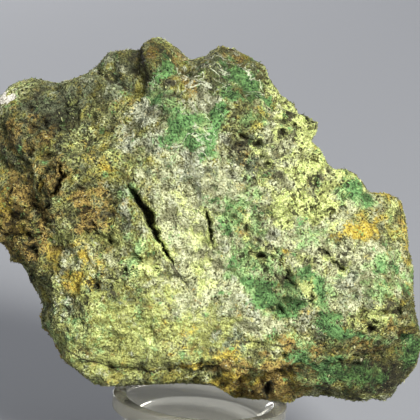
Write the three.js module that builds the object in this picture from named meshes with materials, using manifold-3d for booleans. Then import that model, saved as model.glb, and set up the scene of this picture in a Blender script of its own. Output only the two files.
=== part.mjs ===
// Bayldonite specimen on a clear ring stand. Millimetres, +Z up, front of the specimen toward -Y.
// The rock is one closed skin: a distance from its middle is worked out for every direction, from
// its outline, its broken faces and its grain. Lumps, veins and hollows are then raised or sunk on
// the front, and the fissures and vugs are cut out.

import * as THREE from 'three';
import { mergeVertices } from 'three/addons/utils/BufferGeometryUtils.js';
import Module from 'manifold-3d';

const wasm = await Module();
wasm.setup();

// The rock in its own frame: X to the right, Z up, -Y toward the viewer, all from its middle.
const SKIN_DIVISIONS = 18;
const SKIN_STRETCH = new THREE.Vector3(1, 0.85, 1);
const EDGE_SHARPNESS = 28;
const LEAN_BACK = THREE.MathUtils.degToRad(12.5);
const TIP_LEFT = THREE.MathUtils.degToRad(5);

// The clear ring stand and the air left between it and the rock.
const RING_RADIUS = 12.4;
const RING_HEIGHT = 12;
const RING_BORE = 8.8;
const RING_WAIST = 10.3;
const RING_RIM_INNER = 10.5;
const RING_BAND = 1.9;
const RING_SIDES = 60;
const RING_TOP_CENTRE = new THREE.Vector3(-0.7, 0, -24.9);
const REST_GAP = 0.3;

// Outline seen from the front, clockwise from the left: X, Z.
const OUTLINE = [
  [-29.1, 17.5], [-27.8, 19], [-26.8, 20], [-24.7, 20.6], [-23.3, 20.2], [-20.9, 19.6],
  [-18.9, 20], [-16.9, 20.7], [-15.2, 21.9], [-14.4, 22.9], [-13.5, 23.9], [-10.8, 24.2],
  [-9.2, 24.1], [-8.5, 25.2], [-7.6, 25.8], [-6.5, 26.1], [-5.5, 25.6], [-3.5, 24.1],
  [-2.3, 23.1], [0.1, 23.4], [1.1, 24.3], [2.3, 25.1], [4.1, 24.5], [6.4, 23.3],
  [8.4, 22.3], [8.9, 20.3], [10.6, 17.9], [12.6, 16.6], [13.3, 15.2], [14.8, 14.9],
  [15.8, 14.1], [15.8, 13.1], [14.8, 11.5], [16.2, 10.2], [17.3, 8], [18.2, 7.3],
  [19.7, 7.4], [21.3, 6.6], [22.4, 5.2], [23.1, 4], [25.6, 4], [27.5, 3],
  [28.3, 0.7], [28.7, -3.2], [29.4, -6.8], [29.3, -10.1], [29.5, -12.4], [30.2, -15.6],
  [30.5, -17.2], [29.7, -20.3], [28.3, -22.2], [27.3, -23.3], [26.5, -24.8], [25.4, -25.4],
  [24.1, -25], [21.4, -25.3], [17.6, -24.8], [14.2, -24.6], [12.9, -25.3], [11.8, -25.8],
  [8.5, -25.2], [4.3, -24.7], [2.6, -23.7], [1.1, -22.7], [-3, -22.6], [-9.2, -22.8],
  [-13.8, -23.1], [-15.6, -22.7], [-17.8, -21], [-20.2, -19.2], [-21.5, -16.5], [-22.9, -14.9],
  [-23.2, -13.3], [-22.7, -11.8], [-23.6, -9.9], [-24.9, -7.9], [-26, -5.8], [-27.3, -5.7],
  [-28, -3.8], [-29.1, -2.6], [-30.1, 0], [-30.7, 3.8], [-30.8, 8.1], [-30.7, 12.4],
  [-30.2, 15.6],
];

// Broken faces: outward direction, then a point that the face passes through.
const FACES = [
  [[0.04, -1, 0.1], [0, -15.4, 0]],
  [[0.45, -0.74, 0.5], [9.5, -14.8, 8.5]],
  [[0.93, -0.36, 0.05], [27, -9, -4]],
  [[0.3, -0.6, -0.74], [18, -14.2, -18]],
  [[0, -0.35, -0.94], [0, -12.2, -21]],
  [[-0.2, -0.93, -0.22], [-16.3, -13.2, -15.3]],
  [[-0.68, -0.72, -0.05], [-21.6, -11.6, -1.1]],
  [[-0.3, -0.8, 0.52], [-17.8, -11, 13]],
  [[0, -0.55, 0.83], [-5, -11, 20]],
  [[0.25, -0.6, 0.76], [4.3, -10.5, 20.2]],
  [[0.08, 1, 0.06], [0, 16.5, 0]],
  [[-0.52, 0.8, 0.3], [-12, 14, 10]],
  [[0.5, 0.8, -0.33], [18, 13, -9]],
  [[0.28, 0.7, 0.66], [7, 13, 11]],
  [[-0.1, 0.45, -0.89], [0, 13, -21]],
  [[-0.8, 0.55, -0.25], [-24, 8, -2]],
  [[0.9, 0.42, 0.1], [26, 8, -2]],
  [[-0.55, 0.25, 0.8], [-22, 6, 23]],
];

// Lumps and hollows of the front: X, Z, half width, half height, turn in degrees, rise.
const LUMPS = [
  [-7.2, 23.3, 2.0, 2.4, 0, 1.8],
  [-12.5, 22.2, 2.4, 1.7, 0, 1.2],
  [3.3, 22.7, 3.4, 2.0, 0, 1.5],
  [-13.9, 18, 2.0, 2.0, 0, 0.6],
  [-9.7, -0.4, 1.8, 5.4, 10, 1.7],
  [-15.3, 1.7, 3.4, 3.7, 0, -2.4],
  [-25.6, 3.1, 4.3, 5.0, 0, 1.2],
  [-22.7, 14.5, 5.7, 4.3, 0, 1],
  [-2.8, 13.1, 2.8, 4.0, 0, 0.7],
  [5.7, 10.5, 3.7, 3.1, 0, -1.5],
  [13.5, 2.4, 5.7, 2.8, 30, 1.3],
  [16, 8.1, 2.6, 2.3, 0, 0.9],
  [9.5, -9.4, 2.4, 3.7, 25, -1.8],
  [8.1, -3.4, 2.8, 1.0, 0, 0.9],
  [20.9, -0.9, 3.1, 2.0, 0, 0.9],
  [14.9, -9.7, 3.7, 3.1, 0, 1],
  [24.1, -11.1, 3.4, 4.3, 0, 0.6],
  [-10.6, -15.3, 8.5, 3.7, 5, 1.1],
  [7.5, -23.4, 4.5, 2.4, 0, 3.2],
  [19.9, -17.5, 4.3, 2.1, 0, -0.9],
  [20.6, -21.9, 4.8, 1.8, 0, 0.7],
  [-19.9, 8.1, 2.0, 4.3, -20, 0.9],
];

// Veins that stand up (rise above zero) and furrows that sink: path of X, Z, half width, rise.
const SEAMS = [
  [[[-9.7, 24.4], [-9.1, 21.3], [-8.5, 18]], 0.9, -1.5],
  [[[-14.9, 20.9], [-12.4, 19.5], [-11.4, 18.5], [-9.7, 18.3]], 0.7, -1.2],
  [[[-16, -19.2], [-12.1, -20.2], [-7.8, -20.4], [-3.3, -19.7]], 0.8, -1.1],
  [[[-15.8, 17], [-15.5, 14.5]], 0.6, -0.8],
  [[[-2.1, -8.9], [1.4, -12.5], [8.1, -17.5]], 0.8, -0.6],
  [[[0, 23.7], [-1.8, 17.3], [-1.4, 10.2], [0, 3.1]], 0.9, 0.4],
  [[[-12.1, 13.3], [-7.8, 8.8], [-5.7, 3.1]], 0.9, 0.4],
];

// Fissures cut into the front: path of X, Z, half width, then the depth of the cut.
const FISSURES = [
  [[[-10.8, 6, 0.12], [-9.5, 4.4, 0.4], [-8.4, 2.4, 0.8], [-7.4, -0.4, 0.7], [-6, -2.7, 0.36],
    [-4.7, -5.1, 0.32], [-2.7, -8.5, 0.12]], 6],
  [[[0.1, 2, 0.12], [0.7, -0.4, 0.3], [0.9, -2.1, 0.28], [1.4, -4, 0.12]], 3.5],
  [[[-20.6, 10.2, 0.12], [-20, 8.2, 0.3], [-19.2, 6.7, 0.6], [-20.6, 4.8, 0.48],
    [-21.9, 2.7, 0.14]], 4.5],
];

// Vugs, the small open pits of the front: X, Z, half width, half height, depth.
const VUGS = [
  [8.7, -23.3, 0.9, 1.1, 3.6],
  [7.4, -4.3, 1.0, 0.6, 2.4],
  [10.1, -6.8, 0.7, 0.7, 2.4],
  [16.6, -4.5, 0.9, 0.5, 2],
  [18.3, -6.1, 0.7, 0.6, 2.4],
  [13.9, 5.3, 0.5, 1.3, 2.4],
  [11.6, 13.6, 1.3, 0.7, 2],
  [-4.5, -19.9, 1.1, 0.6, 2],
  [-0.6, -19.3, 0.6, 1.0, 1.6],
  [-23.7, -2.6, 1.1, 1.1, 2.4],
  [-26.3, 1, 1.1, 1.1, 2.4],
  [3.8, 11.6, 0.9, 0.7, 2],
];

const { smoothstep, lerp } = THREE.MathUtils;

// From the rock's own frame to the way it leans on the stand.
const lean = new THREE.Matrix4()
  .makeRotationX(-LEAN_BACK)
  .multiply(new THREE.Matrix4().makeRotationY(-TIP_LEFT));
const up = new THREE.Vector3(0, 0, 1).transformDirection(lean.clone().transpose());

const OUTLINE_TURNS = OUTLINE.map(([x, z]) => Math.atan2(z, x));

// Distance from the middle to the outline in the direction (x, z).
function outlineRadius(x, z) {
  const turn = Math.atan2(z, x);
  for (let i = 0; i < OUTLINE.length; i += 1) {
    const j = (i + 1) % OUTLINE.length;
    const span = (OUTLINE_TURNS[i] - OUTLINE_TURNS[j] + 2 * Math.PI) % (2 * Math.PI);
    const along = (OUTLINE_TURNS[i] - turn + 2 * Math.PI) % (2 * Math.PI);
    if (along <= span) {
      const [ax, az] = OUTLINE[i];
      const [bx, bz] = OUTLINE[j];
      return (ax * bz - az * bx) / (Math.cos(turn) * (bz - az) - Math.sin(turn) * (bx - ax));
    }
  }
  return 0;
}

// The same outline worn smooth: the mean over a fan of directions to either side.
const WORN_FAN = [-0.42, -0.28, -0.14, 0, 0.14, 0.28, 0.42];
const WORN_SHARE = 0.965;

function wornRadius(x, z) {
  const turn = Math.atan2(z, x);
  let sum = 0;
  for (const step of WORN_FAN) sum += outlineRadius(Math.cos(turn + step), Math.sin(turn + step));
  return (WORN_SHARE * sum) / WORN_FAN.length;
}

// A repeatable number from 0 to 1 for each corner of a lattice.
function cornerValue(i, j, k, seed) {
  let h = Math.imul(i, 0x27d4eb2d) ^ Math.imul(j, 0x165667b1);
  h ^= Math.imul(k, 0x1e3779b1) ^ Math.imul(seed, 0x05ebca6b);
  h = Math.imul(h ^ (h >>> 15), 0x2c1b3c6d);
  h = Math.imul(h ^ (h >>> 12), 0x297a2d39);
  h ^= h >>> 15;
  return (h >>> 0) / 4294967296;
}

// Smooth lumpy field from -1 to 1, with humps about one size across.
function softNoise(p, size, seed) {
  const q = p.clone().divideScalar(size);
  const cell = q.clone().floor();
  const f = q.sub(cell);
  const wx = smoothstep(f.x, 0, 1);
  const wy = smoothstep(f.y, 0, 1);
  const wz = smoothstep(f.z, 0, 1);
  const at = (i, j, k) => cornerValue(cell.x + i, cell.y + j, cell.z + k, seed);
  const low = lerp(lerp(at(0, 0, 0), at(1, 0, 0), wx), lerp(at(0, 1, 0), at(1, 1, 0), wx), wy);
  const high = lerp(lerp(at(0, 0, 1), at(1, 0, 1), wx), lerp(at(0, 1, 1), at(1, 1, 1), wx), wy);
  return 2 * lerp(low, high, wz) - 1;
}

// Chipped field: the space is split into cells, each with its own height and its own slope.
const CHIP_BLEND = 11;

function chipNoise(p, size, seed) {
  const q = p.clone().divideScalar(size);
  const cell = q.clone().floor();
  let weights = 0;
  let sum = 0;
  for (let n = 0; n < 27; n += 1) {
    const i = cell.x + (n % 3) - 1;
    const j = cell.y + (Math.floor(n / 3) % 3) - 1;
    const k = cell.z + Math.floor(n / 9) - 1;
    const dx = q.x - i - cornerValue(i, j, k, seed);
    const dy = q.y - j - cornerValue(i, j, k, seed + 1);
    const dz = q.z - k - cornerValue(i, j, k, seed + 2);
    const slope = dx * (2 * cornerValue(i, j, k, seed + 3) - 1)
      + dy * (2 * cornerValue(i, j, k, seed + 4) - 1)
      + dz * (2 * cornerValue(i, j, k, seed + 5) - 1);
    const weight = Math.exp(-CHIP_BLEND * (dx * dx + dy * dy + dz * dz));
    weights += weight;
    sum += weight * (slope + cornerValue(i, j, k, seed + 6) - 0.5);
  }
  return sum / (weights + 1e-9);
}

// How far (x, z) is from a path, straight across.
function pathDistance(path, x, z) {
  let best = Infinity;
  for (let i = 0; i + 1 < path.length; i += 1) {
    const [ax, az] = path[i];
    const dx = path[i + 1][0] - ax;
    const dz = path[i + 1][1] - az;
    const t = THREE.MathUtils.clamp(((x - ax) * dx + (z - az) * dz) / (dx * dx + dz * dz), 0, 1);
    best = Math.min(best, Math.hypot(x - ax - t * dx, z - az - t * dz));
  }
  return best;
}

// How far the front stands out (or sinks) at (x, z), on top of the broken faces.
function frontRelief(x, z) {
  let rise = 0;
  for (const [cx, cz, halfWidth, halfHeight, turn, height] of LUMPS) {
    const c = Math.cos(THREE.MathUtils.degToRad(turn));
    const s = Math.sin(THREE.MathUtils.degToRad(turn));
    const across = (c * (x - cx) + s * (z - cz)) / halfWidth;
    const along = (c * (z - cz) - s * (x - cx)) / halfHeight;
    rise += height * Math.exp(-((across * across + along * along) ** 1.5) * 0.5);
  }
  for (const [path, halfWidth, height] of SEAMS) {
    rise += height * Math.exp(-((pathDistance(path, x, z) / halfWidth) ** 2));
  }
  return rise;
}

// Distance from the middle to the bare broken skin in a unit direction.
function brokenRadius(d) {
  const flat = Math.hypot(d.x, d.z);
  const back = smoothstep(d.y, 0.06, 0.5);
  const front = 0.5 * smoothstep(-d.y, 0.3, 0.8);
  const fresh = RIM_SHARE * outlineRadius(d.x, d.z);
  const rim = lerp(fresh, wornRadius(d.x, d.z), Math.max(back, front));
  const share = smoothstep(Math.abs(d.y), 0, 0.14);
  let sum = (flat / rim) ** EDGE_SHARPNESS;
  for (const [out, point] of FACES) {
    const facing = d.x * out[0] + d.y * out[1] + d.z * out[2];
    const height = point[0] * out[0] + point[1] * out[1] + point[2] * out[2];
    if (facing > 0) sum += share * (facing / height) ** EDGE_SHARPNESS;
  }
  return sum ** (-1 / EDGE_SHARPNESS);
}

// Coarse to fine unevenness of the broken stone: field, size, seed and height in millimetres.
const GRAIN = [
  [chipNoise, 15, 91, 2.6],
  [chipNoise, 9, 11, 1.7],
  [chipNoise, 4.6, 31, 1.15],
  [softNoise, 3.2, 51, 0.5],
  [softNoise, 1.9, 71, 0.3],
];
const GRAIN_SINK = 0.25;

function grain(p) {
  let sum = -GRAIN_SINK;
  for (const [field, size, seed, height] of GRAIN) sum += height * field(p, size, seed);
  return sum;
}

// The finished skin point in a unit direction. The grain is faint along the outline, so that the
// outline keeps its line, and nothing stands out past it; the walls close in a little to the front.
const RIM_GRAIN = 0.15;
const RIM_SHARE = 1.005;
const RIM_TAPER = 0.0026;
const SEAT_ROUGH = 0.2;

function skinPoint(d) {
  const p = d.clone().multiplyScalar(brokenRadius(d));
  const inward = smoothstep(Math.abs(d.y), 0.02, 0.2);
  p.addScaledVector(d, grain(p) * lerp(RIM_GRAIN, 1, inward));
  p.y -= frontRelief(p.x, p.z) * smoothstep(-d.y, 0, 0.25);
  const reach = RIM_SHARE * outlineRadius(p.x, p.z) * (1 + p.y * RIM_TAPER);
  const inside = Math.min(1, reach / Math.hypot(p.x, p.z));
  p.x *= inside;
  p.z *= inside;
  const seat = up.dot(RING_TOP_CENTRE) + REST_GAP + SEAT_ROUGH * (1 + softNoise(p, 3.5, 5));
  return p.addScaledVector(up, Math.max(0, seat - up.dot(p)));
}

// Y of the bare front at (x, z), found by closing in from outside.
function frontY(x, z) {
  let outside = -40;
  let inside = 0;
  for (let step = 0; step < 30; step += 1) {
    const y = (outside + inside) / 2;
    const p = new THREE.Vector3(x, y, z);
    const length = p.length();
    const d = p.clone().divideScalar(length);
    const r = brokenRadius(d);
    if (length > r + grain(d.clone().multiplyScalar(r))) outside = y;
    else inside = y;
  }
  return inside - frontRelief(x, z);
}

function toManifold(geometry) {
  geometry.deleteAttribute('normal');
  geometry.deleteAttribute('uv');
  const merged = mergeVertices(geometry, 1e-5);
  return new wasm.Manifold(new wasm.Mesh({
    numProp: 3,
    vertProperties: new Float32Array(merged.attributes.position.array),
    triVerts: new Uint32Array(merged.index.array),
  }));
}

function toGeometry(solid) {
  const mesh = solid.getMesh();
  const geometry = new THREE.BufferGeometry();
  geometry.setAttribute('position', new THREE.BufferAttribute(mesh.vertProperties, 3));
  geometry.setIndex(new THREE.BufferAttribute(mesh.triVerts, 1));
  return geometry;
}

function solidFrom(points, triangles) {
  const geometry = new THREE.BufferGeometry();
  geometry.setAttribute('position', new THREE.Float32BufferAttribute(points.flat(), 3));
  geometry.setIndex(triangles);
  return toManifold(geometry);
}

// A wedge along a fissure: open and wide in front of the skin, closed to an edge at its depth.
const CUT_STANDOFF = 2;

function fissureCutter([path, depth]) {
  const points = [];
  const triangles = [];
  path.forEach(([x, z, halfWidth], i) => {
    const [ax, az] = path[Math.max(i - 1, 0)];
    const [bx, bz] = path[Math.min(i + 1, path.length - 1)];
    const length = Math.hypot(bx - ax, bz - az);
    const sideX = (az - bz) / length;
    const sideZ = (bx - ax) / length;
    const y = frontY(x, z);
    const reach = (halfWidth * (depth + CUT_STANDOFF)) / depth;
    points.push([x + sideX * reach, y - CUT_STANDOFF, z + sideZ * reach]);
    points.push([x - sideX * reach, y - CUT_STANDOFF, z - sideZ * reach]);
    points.push([x, y + depth, z]);
  });
  for (let i = 0; i + 1 < path.length; i += 1) {
    for (const [a, b] of [[0, 1], [1, 2], [2, 0]]) {
      const near = 3 * i;
      triangles.push(near + a, near + b, near + 3 + b, near + a, near + 3 + b, near + 3 + a);
    }
  }
  const last = 3 * (path.length - 1);
  triangles.push(0, 2, 1, last, last + 1, last + 2);
  return solidFrom(points, triangles);
}

// A short six-sided cone for a vug, turned a little from one to the next.
function vugCutter([x, z, halfWidth, halfHeight, depth], index) {
  const y = frontY(x, z);
  const cone = new THREE.CylinderGeometry(0.3, 1.5, depth + CUT_STANDOFF, 6);
  cone.rotateY(index);
  cone.scale(halfWidth, 1, halfHeight);
  cone.translate(x, y + (depth - CUT_STANDOFF) / 2, z);
  return toManifold(cone);
}

function rockSolid() {
  const sphere = new THREE.IcosahedronGeometry(1, SKIN_DIVISIONS);
  sphere.deleteAttribute('normal');
  sphere.deleteAttribute('uv');
  const skin = mergeVertices(sphere, 1e-5);
  const place = skin.attributes.position;
  for (let i = 0; i < place.count; i += 1) {
    const d = new THREE.Vector3().fromBufferAttribute(place, i).multiply(SKIN_STRETCH).normalize();
    const p = skinPoint(d);
    place.setXYZ(i, p.x, p.y, p.z);
  }
  let solid = toManifold(skin);
  for (const fissure of FISSURES) solid = solid.subtract(fissureCutter(fissure));
  VUGS.forEach((vug, index) => {
    solid = solid.subtract(vugCutter(vug, index));
  });
  return solid;
}

// The ring's wall as one closed loop of radius and height: foot, waist, rim band, bore.
function ringSolid() {
  const wall = [
    [RING_BORE, 0],
    [RING_RADIUS - 0.5, 0],
    [RING_RADIUS, 0.5],
    [RING_RADIUS, RING_BAND],
    [RING_WAIST + 0.7, RING_BAND + 1.3],
    [RING_WAIST, RING_HEIGHT / 2],
    [RING_WAIST + 0.7, RING_HEIGHT - RING_BAND - 1.3],
    [RING_RADIUS, RING_HEIGHT - RING_BAND],
    [RING_RADIUS, RING_HEIGHT - 0.5],
    [RING_RADIUS - 0.5, RING_HEIGHT],
    [RING_RIM_INNER + 0.3, RING_HEIGHT],
    [RING_RIM_INNER, RING_HEIGHT - 0.3],
    [RING_BORE, RING_HEIGHT - 2.6],
    [RING_BORE, 0],
  ].map(([radius, height]) => new THREE.Vector2(radius, height));
  const ring = new THREE.LatheGeometry(wall, RING_SIDES);
  ring.rotateX(Math.PI / 2);
  return toManifold(ring);
}

const rockGeometry = toGeometry(rockSolid());
rockGeometry.applyMatrix4(lean);

const ringGeometry = toGeometry(ringSolid());
const ringTop = RING_TOP_CENTRE.clone().applyMatrix4(lean);
ringGeometry.translate(ringTop.x, ringTop.y, ringTop.z - RING_HEIGHT);

const rock = new THREE.Mesh(rockGeometry, new THREE.MeshStandardMaterial({
  color: 0x9aa35a,
  roughness: 0.85,
  metalness: 0,
}));
rock.name = 'bayldonite_rock';

const ring = new THREE.Mesh(ringGeometry, new THREE.MeshStandardMaterial({
  color: 0xe6ecee,
  roughness: 0.08,
  metalness: 0,
}));
ring.name = 'ring_stand';

// The whole object stands on the middle of its own footprint box.
const box = new THREE.Box3();
for (const geometry of [rockGeometry, ringGeometry]) {
  geometry.computeBoundingBox();
  box.union(geometry.boundingBox);
}
const middle = box.getCenter(new THREE.Vector3());
for (const geometry of [rockGeometry, ringGeometry]) {
  geometry.translate(-middle.x, -middle.y, -box.min.z);
}

const specimen = new THREE.Group();
specimen.name = 'bayldonite_specimen';
specimen.add(rock, ring);

export default specimen;
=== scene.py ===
# %% [markdown]
# # A bayldonite specimen on its clear display ring
#
# Bayldonite is a lead and copper mineral that grows as thin crusts on weathered ore. This specimen is
# one broken lump: pale quartz and rusty limonite inside, a crumbly yellow-green crust over much of the
# front, and patches of emerald green where the copper is richest. It leans on a small clear ring.
#
# The lesson rebuilds the lump as one surface worked out with numpy, sprinkles loose crystal grains on
# it, colours both with procedural materials, and ends with the ring, the floor, lights and camera.

import bpy
import numpy as np
from mathutils import Matrix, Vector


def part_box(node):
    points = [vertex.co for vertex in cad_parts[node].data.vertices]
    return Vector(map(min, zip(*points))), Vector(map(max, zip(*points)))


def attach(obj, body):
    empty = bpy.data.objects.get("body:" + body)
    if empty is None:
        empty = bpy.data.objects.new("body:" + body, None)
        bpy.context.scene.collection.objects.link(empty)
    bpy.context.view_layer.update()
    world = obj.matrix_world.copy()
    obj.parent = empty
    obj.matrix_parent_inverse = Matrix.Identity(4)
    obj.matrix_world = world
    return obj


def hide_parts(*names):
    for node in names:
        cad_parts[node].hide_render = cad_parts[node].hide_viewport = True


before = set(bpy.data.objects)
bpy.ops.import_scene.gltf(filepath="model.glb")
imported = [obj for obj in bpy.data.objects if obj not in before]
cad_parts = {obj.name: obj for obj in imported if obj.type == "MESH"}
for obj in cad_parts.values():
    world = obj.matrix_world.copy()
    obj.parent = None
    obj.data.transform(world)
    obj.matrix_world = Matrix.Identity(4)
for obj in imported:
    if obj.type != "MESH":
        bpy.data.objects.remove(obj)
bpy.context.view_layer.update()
MM = 0.001
ring_low, ring_high = (np.array(corner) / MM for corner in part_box("ring_stand"))
print("frame nodes:", sorted(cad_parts), "ring box in mm:", ring_low.round(2), ring_high.round(2))

# %% [markdown]
# ## How the lump leans
#
# It is easiest to describe the lump flat on, in its own frame: X to the right, Z up, and -Y toward the
# viewer. On the ring it leans back and tips a little to the left, so one rotation takes every finished
# point from its own frame to the shelf. The ring's top centre, known in both frames, gives the shift.

# %% From the lump's own frame to the shelf
LEAN_BACK = np.radians(12.5)
TIP_LEFT = np.radians(5)
RING_TOP_CENTRE = np.array([-0.7, 0.0, -24.9])

cos_lean, sin_lean = np.cos(LEAN_BACK), np.sin(LEAN_BACK)
cos_tip, sin_tip = np.cos(TIP_LEFT), np.sin(TIP_LEFT)
lean_back = np.array([[1, 0, 0], [0, cos_lean, sin_lean], [0, -sin_lean, cos_lean]])
tip_left = np.array([[cos_tip, 0, -sin_tip], [0, 1, 0], [sin_tip, 0, cos_tip]])
lean = lean_back @ tip_left
ring_top = np.array([*(ring_low[:2] + ring_high[:2]) / 2, ring_high[2]])
shift = ring_top - lean @ RING_TOP_CENTRE
up = lean.T @ np.array([0, 0, 1])
print("shift to the shelf, mm:", shift.round(3))


def on_shelf(points):
    """Points of the lump's own frame, turned and shifted to the shelf, in metres."""
    return (points @ lean.T + shift) * MM


# %% [markdown]
# ## The lump's plan
#
# The broken outline seen from the front carries most of the likeness, so it is written down point by
# point. Behind it stand a few flat broken faces, each given by the way it faces and one point on it.

# %% Outline and broken faces
OUTLINE = np.array([
    (-29.1, 17.5), (-27.8, 19), (-26.8, 20), (-24.7, 20.6), (-23.3, 20.2), (-20.9, 19.6),
    (-18.9, 20), (-16.9, 20.7), (-15.2, 21.9), (-14.4, 22.9), (-13.5, 23.9), (-10.8, 24.2),
    (-9.2, 24.1), (-8.5, 25.2), (-7.6, 25.8), (-6.5, 26.1), (-5.5, 25.6), (-3.5, 24.1),
    (-2.3, 23.1), (0.1, 23.4), (1.1, 24.3), (2.3, 25.1), (4.1, 24.5), (6.4, 23.3),
    (8.4, 22.3), (8.9, 20.3), (10.6, 17.9), (12.6, 16.6), (13.3, 15.2), (14.8, 14.9),
    (15.8, 14.1), (15.8, 13.1), (14.8, 11.5), (16.2, 10.2), (17.3, 8), (18.2, 7.3),
    (19.7, 7.4), (21.3, 6.6), (22.4, 5.2), (23.1, 4), (25.6, 4), (27.5, 3),
    (28.3, 0.7), (28.7, -3.2), (29.4, -6.8), (29.3, -10.1), (29.5, -12.4), (30.2, -15.6),
    (30.5, -17.2), (29.7, -20.3), (28.3, -22.2), (27.3, -23.3), (26.5, -24.8), (25.4, -25.4),
    (24.1, -25), (21.4, -25.3), (17.6, -24.8), (14.2, -24.6), (12.9, -25.3), (11.8, -25.8),
    (8.5, -25.2), (4.3, -24.7), (2.6, -23.7), (1.1, -22.7), (-3, -22.6), (-9.2, -22.8),
    (-13.8, -23.1), (-15.6, -22.7), (-17.8, -21), (-20.2, -19.2), (-21.5, -16.5), (-22.9, -14.9),
    (-23.2, -13.3), (-22.7, -11.8), (-23.6, -9.9), (-24.9, -7.9), (-26, -5.8), (-27.3, -5.7),
    (-28, -3.8), (-29.1, -2.6), (-30.1, 0), (-30.7, 3.8), (-30.8, 8.1), (-30.7, 12.4),
    (-30.2, 15.6),
])
FACES = np.array([
    [(0.04, -1, 0.1), (0, -15.4, 0)],
    [(0.45, -0.74, 0.5), (9.5, -14.8, 8.5)],
    [(0.93, -0.36, 0.05), (27, -9, -4)],
    [(0.3, -0.6, -0.74), (18, -14.2, -18)],
    [(0, -0.35, -0.94), (0, -12.2, -21)],
    [(-0.2, -0.93, -0.22), (-16.3, -13.2, -15.3)],
    [(-0.68, -0.72, -0.05), (-21.6, -11.6, -1.1)],
    [(-0.3, -0.8, 0.52), (-17.8, -11, 13)],
    [(0, -0.55, 0.83), (-5, -11, 20)],
    [(0.25, -0.6, 0.76), (4.3, -10.5, 20.2)],
    [(0.08, 1, 0.06), (0, 16.5, 0)],
    [(-0.52, 0.8, 0.3), (-12, 14, 10)],
    [(0.5, 0.8, -0.33), (18, 13, -9)],
    [(0.28, 0.7, 0.66), (7, 13, 11)],
    [(-0.1, 0.45, -0.89), (0, 13, -21)],
    [(-0.8, 0.55, -0.25), (-24, 8, -2)],
    [(0.9, 0.42, 0.1), (26, 8, -2)],
    [(-0.55, 0.25, 0.8), (-22, 6, 23)],
])
EDGE_SHARPNESS = 28
print("outline points:", len(OUTLINE), "broken faces:", len(FACES))

# %% [markdown]
# ## Lumps, seams, fissures and vugs
#
# What gives the front its character is written in the same flat frame: rounded lumps and hollows,
# seams that stand up or sink along a path, three open fissures, and some seventy vugs, which are the
# little cavities that crystals grew into. Cracks too fine for a mesh are paths as well, but they are
# only drawn by the material, as thin lines of painted shade.

# %% Named features of the front
LUMPS = [  # X, Z, half width, half height, turn in degrees, rise
    (-7.2, 23.3, 2.0, 2.4, 0, 1.8), (-12.5, 22.2, 2.4, 1.7, 0, 1.2), (3.3, 22.7, 3.4, 2.0, 0, 1.5),
    (-13.9, 18, 2.0, 2.0, 0, 0.6), (-9.7, -0.4, 1.8, 5.4, 10, 1.7), (-15.3, 1.7, 3.4, 3.7, 0, -2.4),
    (-25.6, 3.1, 4.3, 5.0, 0, 1.2), (-22.7, 14.5, 5.7, 4.3, 0, 1), (-2.8, 13.1, 2.8, 4.0, 0, 0.7),
    (5.7, 10.5, 3.7, 3.1, 0, -1.5), (13.5, 2.4, 5.7, 2.8, 30, 0.9), (16, 8.1, 2.6, 2.3, 0, 0.9),
    (9.5, -9.4, 2.4, 3.7, 25, -1.4), (8.1, -3.4, 2.8, 1.0, 0, 0.9), (20.9, -0.9, 3.1, 2.0, 0, 0.9),
    (14.9, -9.7, 3.7, 3.1, 0, 1), (24.1, -11.1, 3.4, 4.3, 0, 0.6), (-10.6, -15.3, 8.5, 3.7, 5, 1.1),
    (7.5, -23.4, 4.5, 2.4, 0, 3.2), (19.9, -17.5, 4.3, 2.1, 0, -0.9), (20.6, -21.9, 4.8, 1.8, 0, 0.7),
    (-19.9, 8.1, 2.0, 4.3, -20, 0.9),
]
SEAMS = [  # path, half width, rise
    ([(-9.7, 24.4), (-9.1, 21.3), (-8.5, 18)], 0.9, -1.5),
    ([(-14.9, 20.9), (-12.4, 19.5), (-11.4, 18.5), (-9.7, 18.3)], 0.7, -1.2),
    ([(-16, -19.2), (-12.1, -20.2), (-7.8, -20.4), (-3.3, -19.7)], 0.8, -1.1),
    ([(-15.8, 17), (-15.5, 14.5)], 0.6, -0.8),
    ([(-2.1, -8.9), (1.4, -12.5), (8.1, -17.5)], 0.8, -0.6),
    ([(0, 23.7), (-1.8, 17.3), (-1.4, 10.2), (0, 3.1)], 0.9, 0.4),
    ([(-12.1, 13.3), (-7.8, 8.8), (-5.7, 3.1)], 0.9, 0.4),
    ([(-8.2, -11), (-7.8, -14.5), (-7.3, -17.6)], 0.7, 0.45),
]
FISSURES = [  # path of X, Z, half width; then depth
    ([(-10.4, 5.2, 0.14), (-9.6, 4.3, 0.4), (-8.9, 3.2, 0.6), (-8.1, 1.9, 0.6), (-7.5, 0.7, 0.7),
      (-7.2, -0.6, 0.62), (-6.5, -2, 0.5), (-5.9, -3, 0.26), (-5.1, -4.1, 0.34),
      (-4.3, -5.5, 0.14)], 4.5),
    ([(0.1, 2, 0.12), (0.6, 0.2, 0.26), (0.8, -1.4, 0.26), (1.3, -3.4, 0.12)], 3.5),
    ([(-20, 8, 0.1), (-19.3, 6.2, 0.3), (-20, 5.1, 0.6), (-20.8, 3.9, 0.55), (-21.5, 2.9, 0.3),
      (-22.2, 1.6, 0.12)], 4),
]
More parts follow.
